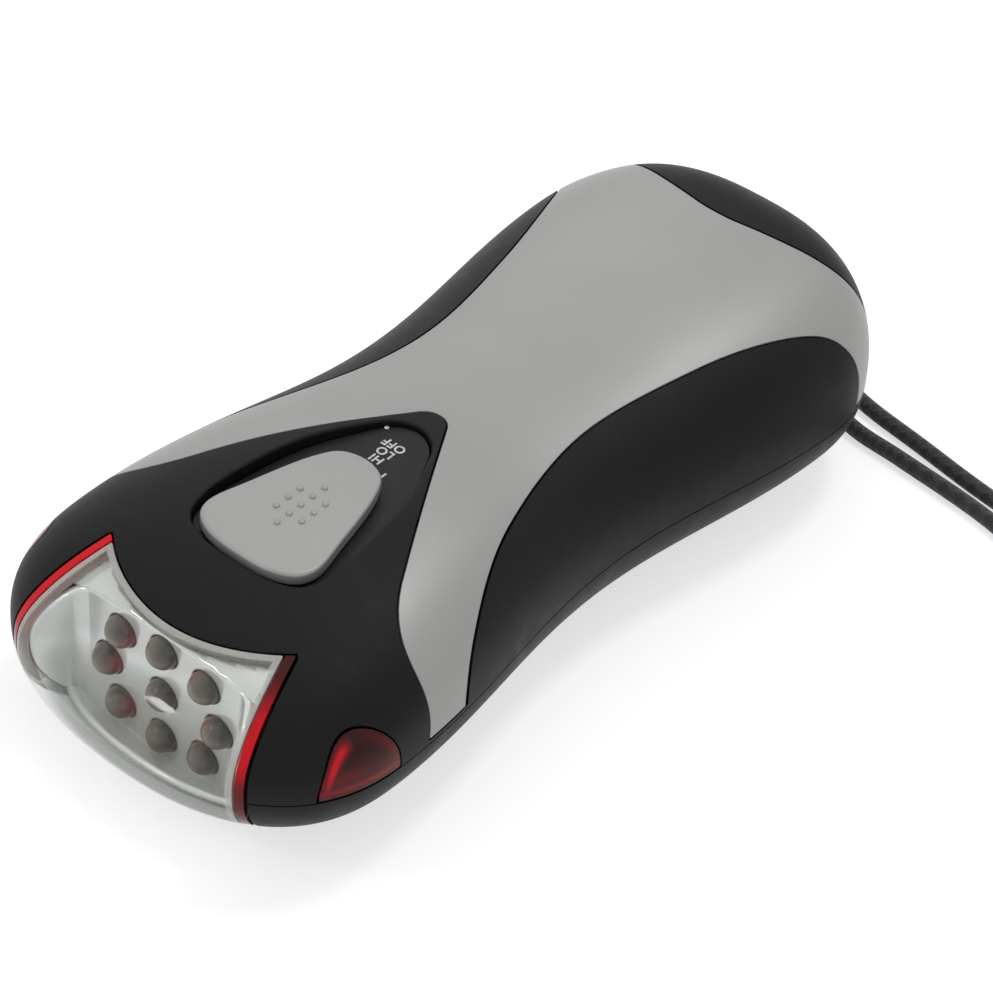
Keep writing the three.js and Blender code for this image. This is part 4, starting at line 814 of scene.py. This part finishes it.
red_plastic, red_start = new_material("red_plastic")
red_cloud = grain(red_start, 300.0, 4.0)
red_fine = grain(red_start, 2500.0)
# The painted light and shade of the panes and strips, kept on their corners, runs the red from dark to
# bright.
red_painted_shading = stored(red_start, "glow") * (red_cloud * 0.5 + 0.75)
red_deep = red_painted_shading.between(0.0, 0.45).blend((0.012, 0.0008, 0.0012, 1), (0.2, 0.004, 0.008, 1))
red_colour = red_painted_shading.between(0.45, 1.0).blend(red_deep, (0.8, 0.003, 0.014, 1))
red_start.finish({
    "Base Color": red_colour, "Roughness": red_fine * 0.06 + 0.06,
    "Normal": (red_fine + red_cloud).bump(0.25, 0.04),
    "IOR": 1.49, "Specular IOR Level": 0.12, "Coat Weight": 0.12, "Coat Roughness": 0.03,
})
window_wall, window_side, pane_margin = 2.2, 20, 1.5
strip_floor, strip_side = 9.3, 10
in_strip = plan_distance(lens_plan(fit_gap + strip_width, 0))


def off_lens_side(extra):
    """Positive outside the straight sides of the lens, moved outward by extra."""
    return lambda points: np.abs(points[:, 0]) - (
        lens_corner + lens_flare * (lens_corner_place - points[:, 1]) + extra)


def store(shape, name, level):
    """Keeps a value from 0 to 1 under a name on every corner of a shape."""
    layer = shape.verts.layers.float.new(name)
    for corner, value in zip(shape.verts, np.clip(level(places_of(shape)), 0, 1)):
        corner[layer] = value


def bump_of(value, middle, width):
    return np.exp(-((value - middle) / width) ** 2)


def window_painted_light(points):
    """Painted light and shade: a light edge at the front of the pane, a faint light line over its foot and a
    dark middle.
    """
    along = (points[:, 1] - window_place) / window_half_width
    up = (points[:, 2] - window_floor) / window_height
    out = np.hypot(along, up)
    turn = np.degrees(np.arctan2(up, -along))
    front_edge = bump_of(out, 0.87, 0.08) * np.interp(turn, [5, 30, 62, 84], [0.25, 1, 1, 0])
    rear_edge = bump_of(out, 0.9, 0.1) * np.interp(turn, [90, 130, 180], [0, 0.22, 0.3])
    foot = bump_of(up, 0.13, 0.06) * 0.42
    foot += bump_of(up, 0.36, 0.12) * np.interp(along, [-1, 0.3], [0.35, 0.1])
    middle = np.interp(up, [0, 0.7], [0.16, 0]) * np.interp(along, [-1, 1], [1, 0.5])
    return 0.05 + middle + np.maximum(np.maximum(front_edge, rear_edge), foot)


def strip_painted_light(points):
    """Painted light and shade: bright above its middle and wine dark at the bottom; the right one is painted
    dark at its top too.
    """
    left = np.interp(points[:, 2], [10, 14, 19, 23, 33], [0.3, 0.35, 0.5, 1, 1])
    right = np.interp(points[:, 2], [9, 15, 19, 22, 27, 30], [0.28, 0.33, 0.5, 1, 0.9, 0.12])
    return np.where(points[:, 0] < 0, left, right)


for side, sign in (("left", -1), ("right", 1)):
    window_shape = body_sheet(0)
    trim(window_shape, lambda points: points[:, 0] * sign - window_side)
    trim(window_shape, in_window(pane_margin))
    finer(window_shape, lambda points: np.ones(len(points)), 2)
    trim(window_shape, in_window(0))
    trim(window_shape, above(window_floor))
    # Painted light and shade of the pane.
    store(window_shape, "glow", window_painted_light)
    finished(
        window_shape, f"window_{side}", red_plastic, [f"red_window_{side}"],
        wall=window_wall, edge=0.25)
    strip_shape = body_sheet(0)
    trim(strip_shape, lambda points: points[:, 0] * sign - strip_side)
    trim(strip_shape, above(strip_floor))
    finer(strip_shape, close_to(in_strip, reach=2), 2)
    trim(strip_shape, in_strip)
    trim(strip_shape, off_lens_side(fit_gap))
    store(strip_shape, "glow", strip_painted_light)
    finished(strip_shape, f"strip_{side}", red_plastic, wall=window_wall, edge=0.12)


# Reflector
# Thin moulding with bright vacuum plating: a flat plate with nine holes, two wings that open
# towards the lens, a flange under the top of the lens and a shelf at the bottom.
plate_place, plate_half_width, wing_place, reflector_wall = -63.0, 15.5, -69.5, 1.0
reflector_floor, shelf_height = lens_floor + 2 * fit_gap, 8.5
reflector_skin = lens_wall + fit_gap
lamp_pitch_across, lamp_pitch_up, lamp_middle = 10.5, 7.85, 17.05
lamp_hole = 2.7
corner_share_across, corner_share_up = 0.757, 0.845
lamp_places = [(0, 0), (-1, 0), (1, 0), (0, 1), (0, -1)]
lamp_places += [(x * corner_share_across, z * corner_share_up) for x in (-1, 1) for z in (-1, 1)]
lamp_centres = [(x * lamp_pitch_across, lamp_middle + z * lamp_pitch_up) for x, z in lamp_places]
bright_plating, plating_start = new_material("bright_plating")
# Painted highlights, kept on the plate's corners, lift the plating's colour towards white.
plating_highlight_paint = stored(plating_start, "shine")
plating_cloud = grain(plating_start, 160.0, 4.0)
plating_fine = grain(plating_start, 1400.0, 3.0)
plating_mixed = (plating_highlight_paint + plating_cloud * 0.25 - 0.125).between(0.0, 1.0)
plating_start.finish({
    "Base Color": plating_mixed.blend((0.8, 0.8, 0.785, 1), (0.98, 0.98, 0.98, 1)),
    "Roughness": plating_fine * 0.06 + plating_cloud.between(0.5, 0.8) * 0.1 + 0.12, "Metallic": 0.3,
    "Normal": plating_fine.bump(0.15, 0.02),
})


def plate_painted_highlights(points):
    """Painted highlights: bright along the plate's rim, on its wings and in a slanting streak across the
    lamps.
    """
    x, z = points[:, 0], points[:, 2]
    edge = bump_of(inside_body(points, reflector_skin), 0, 0.35) * (z > 14)
    wing = bump_of(x, 17.5, 3.2) * np.interp(z, [13, 17, 26, 29], [0, 1, 1, 0.4])
    streak = bump_of(z - lamp_middle - 0.2 * x, 4, 1.6) * (x < 9)
    return np.maximum(np.maximum(edge, wing), streak * 0.7)


plate_shape = bmesh.new()
plate_columns, plate_rows = 170, 110
bmesh.ops.create_grid(plate_shape, x_segments=plate_columns, y_segments=plate_rows, size=1)
wing_half = lens_corner + lens_flare * (lens_corner_place - wing_place) - fit_gap
bend_length = 3.0
wing_run = math.hypot(wing_half - plate_half_width, plate_place - wing_place)
plate_reach = plate_half_width + wing_run
for corner in plate_shape.verts:
    run = corner.co.x * plate_reach
    out = max(0.0, abs(run) - plate_half_width + bend_length / 2)
    bent = min(out, bend_length) ** 2 / (2 * bend_length) + max(0.0, out - bend_length)
    shift = bent / wing_run
    x = math.copysign(abs(run) - bent + (wing_half - plate_half_width) * shift, run)
    y = plate_place - (plate_place - wing_place) * shift
    corner.co = (x, y, reflector_floor + (corner.co.y + 1) / 2 * (nose_top - reflector_floor))
trim(plate_shape, lambda points: inside_body(points, reflector_skin))
for x, z in lamp_centres:
    trim(plate_shape, lambda points: np.hypot(points[:, 0] - x, points[:, 2] - z) - lamp_hole,
         shortest=0.08)
bmesh.ops.recalc_face_normals(plate_shape, faces=plate_shape.faces)
if sum(face.normal.y for face in plate_shape.faces) > 0:
    bmesh.ops.reverse_faces(plate_shape, faces=plate_shape.faces)
store(plate_shape, "shine", plate_painted_highlights)
finished(
    plate_shape, "reflector_plate", bright_plating, ["reflector"],
    wall=reflector_wall)
in_lens_inner = plan_distance(lens_plan(-fit_gap, -fit_gap))
flange_shape = body_sheet(reflector_skin)
trim(flange_shape, in_lens_inner)
trim(flange_shape, lambda points: np.maximum(
    np.minimum(points[:, 1] - plate_place, points[:, 2] - belt_height), shelf_height - points[:, 2]))
trim(flange_shape, above(reflector_floor))
finished(flange_shape, "reflector_flange", bright_plating, wall=reflector_wall)


# White lamps
# Nine 5 mm lamps of clear resin, each with a flange at its foot, soldered to a board behind the reflector.
# Their smoky brown is painted darker at the upper right and paler at the lower left, with a painted paler
# rim towards the foot and painted red reflections on their inner sides.
lamp_radius, lamp_flange, lamp_flange_wall, lamp_straight = 2.5, 2.9, 1.0, 5.9
board_front = -56.775
lamp_resin, resin_start = new_material("lamp_resin")
resin_cloud = grain(resin_start, 500.0, 3.0)
resin_fine = grain(resin_start, 700.0)
# The painted shade (tone) and the painted red reflection (red) are kept on the lamps' corners.
resin_mixed = stored(resin_start, "tone") * 0.94 + resin_cloud * 0.12
resin_brown = resin_mixed.between(0.1, 0.75).blend((0.045, 0.032, 0.027, 1), (0.34, 0.26, 0.215, 1))
resin_painted_rim = resin_mixed.between(0.8, 1.05).blend(resin_brown, (0.42, 0.37, 0.34, 1))
resin_painted_reflection = stored(resin_start, "red") * resin_cloud.between(0.3, 0.6)
resin_start.finish({
    "Base Color": resin_painted_reflection.blend(resin_painted_rim, (0.42, 0.01, 0.02, 1)),
    "Roughness": resin_cloud * 0.08 + 0.05, "Normal": resin_fine.bump(0.15, 0.02),
    "Coat Weight": 0.8, "Coat Roughness": 0.03, "Specular IOR Level": 0.1,
})


def lamp_painted_shade(points):
    """Painted shade: paler towards the left, the bottom and the foot of the lamp, and darker towards the
    upper right.
    """
    foot = np.maximum(0, 1 + (points[:, 1] + lamp_flange_wall) / lamp_straight)
    return 0.52 - 0.4 * points[:, 0] / lamp_radius - 0.34 * points[:, 2] / lamp_radius + foot * 0.3


def red_painted_reflection(x):
    """Painted reflection: red on the side towards the middle, where the lamp at x would mirror a red strip.
    """
    inner_side = 1 if x < 0 else -1
    lean = 0.25 if x > 0 else 0
    strength = 0.9 if abs(x) > 1 else 0.3
    return lambda points: strength * (
        (points[:, 0] * inner_side + points[:, 2] * lean) / lamp_radius - 0.3)


dome_steps = 10
for index, (x, z) in enumerate(lamp_centres, 1):
    lamp_shape = bmesh.new()
    profile = [(0, 0), (lamp_flange, 0), (lamp_flange, lamp_flange_wall), (lamp_radius, lamp_flange_wall)]
    for step in range(dome_steps + 1):
        angle = math.pi / 2 * step / dome_steps
        profile.append((lamp_radius * math.cos(angle), lamp_straight + lamp_radius * math.sin(angle)))
    ring(lamp_shape, profile, 0, 0, steps=32, closed=False)
    joined(lamp_shape)
    lamp_shape.transform(Matrix.Rotation(math.pi / 2, 4, "X"))
    store(lamp_shape, "tone", lamp_painted_shade)
    store(lamp_shape, "red", red_painted_reflection(x))
    lamp_shape.transform(Matrix.Translation((x, board_front - fit_gap, z)))
    finished(lamp_shape, f"lamp_{index}", lamp_resin, [f"led_{index}"])


# Front lens
# Clear moulding, 1.5 mm thick, that closes the nose from the underside to behind the hood's front edge. Its
# rims are rougher and carry a painted pale highlight, and its lowest part carries a painted grey-green view
# of the shelf behind it.
clear_plastic, clear_start = new_material("clear_plastic")
clear_scuff = grain(clear_start, 600.0, 8.0).between(0.6, 0.85)
clear_fine = grain(clear_start, 260.0)
# The rims' pale band is a painted highlight on rougher edges, and the low band is a painted view of the
# shelf seen through the lens.
clear_rim_painted_light = stored(clear_start, "rim")
clear_low_painted_view = stored(clear_start, "low")
clear_tone = clear_rim_painted_light.blend((0.93, 0.94, 0.93, 1), (0.66, 0.65, 0.61, 1))
clear_tone = clear_low_painted_view.blend(clear_tone, (0.56, 0.58, 0.54, 1))
clear_gloss = clear_start.node("BsdfPrincipled", {
    "Base Color": clear_tone, "Metallic": 0.9 - clear_rim_painted_light.sum("MAXIMUM", clear_rim_painted_light, clear_low_painted_view) * 0.85,
    "Roughness": clear_scuff * 0.1 + clear_rim_painted_light * 0.25 + 0.05, "IOR": 1.49,
    "Normal": clear_fine.bump(0.1, 0.02),
})
clear_through = clear_start.node("BsdfTransparent", {"Color": (0.97, 0.98, 0.975, 1)})
clear_facing = clear_start.node("LayerWeight", {"Blend": 0.5}, out=1)
clear_edge = clear_facing.sum("POWER", clear_facing, 5.0)
clear_share = clear_edge * 0.6 + clear_scuff * 0.012 + clear_rim_painted_light * 0.6 + clear_low_painted_view * 0.55 + 0.014
clear_both = clear_start.node("MixShader", {0: clear_share, 1: clear_through, 2: clear_gloss})
clear_start.node("OutputMaterial", {"Surface": clear_both})
in_lens = plan_distance(lens_plan(0, 0))
lens_shape = body_sheet(0)
finer(lens_shape, close_to(in_lens, reach=2), 2)
trim(lens_shape, in_lens)
trim(lens_shape, above(lens_floor))
rim_band, low_band = [0.7, 1.0], [7, 10]
# Painted highlight along the rims and painted view of the shelf along the lowest part.
store(lens_shape, "rim", lambda points: np.interp(
    np.minimum(in_lens(points), points[:, 2] - lens_floor), rim_band, [1, 0]))
store(lens_shape, "low", lambda points: np.interp(points[:, 2], low_band, [1, 0]))
finished(
    lens_shape, "lens_shell", clear_plastic, ["front_lens"], wall=lens_wall, edge=0.3)


# Slide switch
# Dark panel in the recess of the hood, with the words of the three places printed in white. The
# silver painted knob slides rearwards over it and then covers the print.
panel_front, panel_wall = 32.1, 1.2
panel_plastic = moulded_plastic(
    "panel_plastic", (0.010, 0.010, 0.0105), (0.015, 0.015, 0.0155), 0.45, 0.03, gloss=0.2)


def leaned(shape):
    """Tips a shape with the hood."""
    for corner in shape.verts:
        corner.co.z += recess_slope * (corner.co.y - recess_front)


def slab(shape, outline, floor, top):
    """Upright solid on an outline; returns the edges of its top face."""
    corners = [shape.verts.new((x, y, floor)) for x, y in outline]
    base = shape.faces.new(corners)
    raised = bmesh.ops.extrude_face_region(shape, geom=[base])["geom"]
    lifted = [item for item in raised if isinstance(item, bmesh.types.BMVert)]
    bmesh.ops.translate(shape, vec=(0, 0, top - floor), verts=lifted)
    crown = [item for item in raised if isinstance(item, bmesh.types.BMFace)][0]
    bmesh.ops.recalc_face_normals(shape, faces=shape.faces)
    return list(crown.edges)


def shrunk(outline, distance):
    """Moves every side of a closed outline inward."""
    area = sum(a[0] * b[1] - b[0] * a[1] for a, b in zip(outline, outline[1:] + outline[:1]))
    moved = []
    for index, (x, y) in enumerate(outline):
        before, after = outline[index - 1], outline[(index + 1) % len(outline)]
        run = Vector((after[0] - before[0], after[1] - before[1])).normalized()
        side = distance if area > 0 else -distance
        moved.append((x - run.y * side, y + run.x * side))
    return moved


panel_shape = bmesh.new()
slab(panel_shape, shrunk(recess_plan, fit_gap), panel_front - panel_wall, panel_front)
leaned(panel_shape)
finished(panel_shape, "panel_plate", panel_plastic, ["switch_panel"])

print_white, print_start = new_material("print_white")
print_cloud = grain(print_start, 1800.0, 5.0)
print_start.finish({
    "Base Color": print_cloud.between(0.3, 0.6).blend((0.5, 0.5, 0.48, 1), (0.82, 0.82, 0.8, 1)),
    "Roughness": print_cloud * 0.3 + 0.35,
})
letter_size, letter_swell = 2.1, 0.05
ink_lift, ink_wall = 0.01, 0.03
ink_height = panel_front + ink_lift + ink_wall / 2
word_across = -0.55
panel_words = [("OFF", -16.3), ("LO", -18.2), ("HI", -20.05)]
for word, word_along in panel_words:
    text = bpy.data.curves.new(f"print_{word}", "FONT")
    text.body = word
    text.size = letter_size
    text.align_x = "CENTER"
    text.align_y = "CENTER"
    text.space_character = 1.1
    text.extrude = ink_wall / 2
    text.offset = letter_swell
    maker = bpy.data.objects.new("text_maker", text)
    word_shape = bmesh.new()
    word_data = bpy.data.meshes.new_from_object(maker)
    word_shape.from_mesh(word_data)
    bpy.data.objects.remove(maker)
    bpy.data.meshes.remove(word_data)
    joined(word_shape)
    word_shape.transform(Matrix.Rotation(math.pi, 4, "Z"))
    word_shape.transform(Matrix.Translation((word_across, word_along, ink_height)))
    leaned(word_shape)
    finished(word_shape, f"print_{word.lower()}", print_white)
dot_place, dot_radius = Matrix.Translation((-4, -14.1, ink_height)), 0.35
tick_place, tick_size = Matrix.Translation((2.55, -22.0, ink_height)), (0.35, 1.1, ink_wall, 1)
dot_shape = bmesh.new()
bmesh.ops.create_cone(
    dot_shape, cap_ends=True, segments=20, radius1=dot_radius, radius2=dot_radius, depth=ink_wall,
    matrix=dot_place)
bmesh.ops.create_cube(dot_shape, size=1, matrix=tick_place @ Matrix.Diagonal(tick_size))
leaned(dot_shape)
finished(dot_shape, "print_dot", print_white)

knob_floor, knob_top, knob_round = 32.5, 34.4, 0.5
knob_half = [
    (0, -49.125), (5.799, -48.6), (9.198, -46.8), (10.3, -44.175),
    (8.899, -37.5), (5.902, -27.225), (3.8, -24), (0, -22.875),
]
knob_shape = bmesh.new()
crown_edges = slab(knob_shape, mirrored_loop(knob_half), knob_floor, knob_top)
bmesh.ops.bevel(knob_shape, geom=crown_edges, offset=knob_round, segments=6, profile=0.5,
                affect="EDGES", material=-1)
pimple_radius, pimple_height, pimple_pitch, pimple_middle = 0.5, 0.35, 2.4, -36.3
pimples = [(0, 2), (0, -2)] + [(x, y) for x in (-1, 0, 1) for y in (-1, 0, 1)]
for x, y in pimples:
    place = Matrix.Translation((x * pimple_pitch, pimple_middle + y * pimple_pitch, knob_top))
    squash = Matrix.Diagonal((pimple_radius, pimple_radius, pimple_height, 1))
    bmesh.ops.create_uvsphere(knob_shape, u_segments=16, v_segments=10, radius=1, matrix=place @ squash)
leaned(knob_shape)
finished(
    knob_shape, "knob_cap", silver_paint, ["switch_knob"], edge=0.15, body="switch")


# Inside
# Everything behind the shells stays as it stands in the frame, with its own finish: moulded gears
# and plates, drawn metal, wound copper and varnished boards.
pale_nylon = moulded_plastic("pale_nylon", (0.62, 0.59, 0.5), (0.76, 0.73, 0.65), 0.4, 0.03)
grey_plastic = moulded_plastic("grey_plastic", (0.22, 0.225, 0.23), (0.3, 0.305, 0.31), 0.48, 0.03)
green_sleeve = moulded_plastic("green_sleeve", (0.02, 0.18, 0.07), (0.035, 0.26, 0.1), 0.3, 0.03, coat=0.4)
board_green = moulded_plastic("board_green", (0.008, 0.07, 0.025), (0.015, 0.12, 0.04), 0.35, 0.02, coat=0.5)
ferrite = moulded_plastic("ferrite", (0.02, 0.02, 0.023), (0.04, 0.04, 0.045), 0.55, 0.05)
brass = metal("brass", (0.5, 0.31, 0.08), (0.66, 0.44, 0.14), 0.25, 900.0, (6, 1, 1))
copper = metal("copper", (0.4, 0.13, 0.04), (0.62, 0.24, 0.09), 0.28, 500.0, (1, 1, 14))
dressed(pale_nylon, "drive_gear", "compound_gear_", "switch_carriage", "switch_lever")
dressed(grey_plastic, "gear_plate_")
dressed(green_sleeve, "battery_sleeve")
dressed(board_green, "led_board", "main_board")
dressed(ferrite, "rotor_magnet")
dressed(brass, "rotor_pinion")
dressed(copper, "stator_coil")
dressed(red_plastic, "red_led_")
dressed(steel, "stator_yoke", "rotor_shaft", "gear_axle_", "switch_body", "cord_crimp",
        "board_screw_", "battery_cell_", "gearbox_screw_")
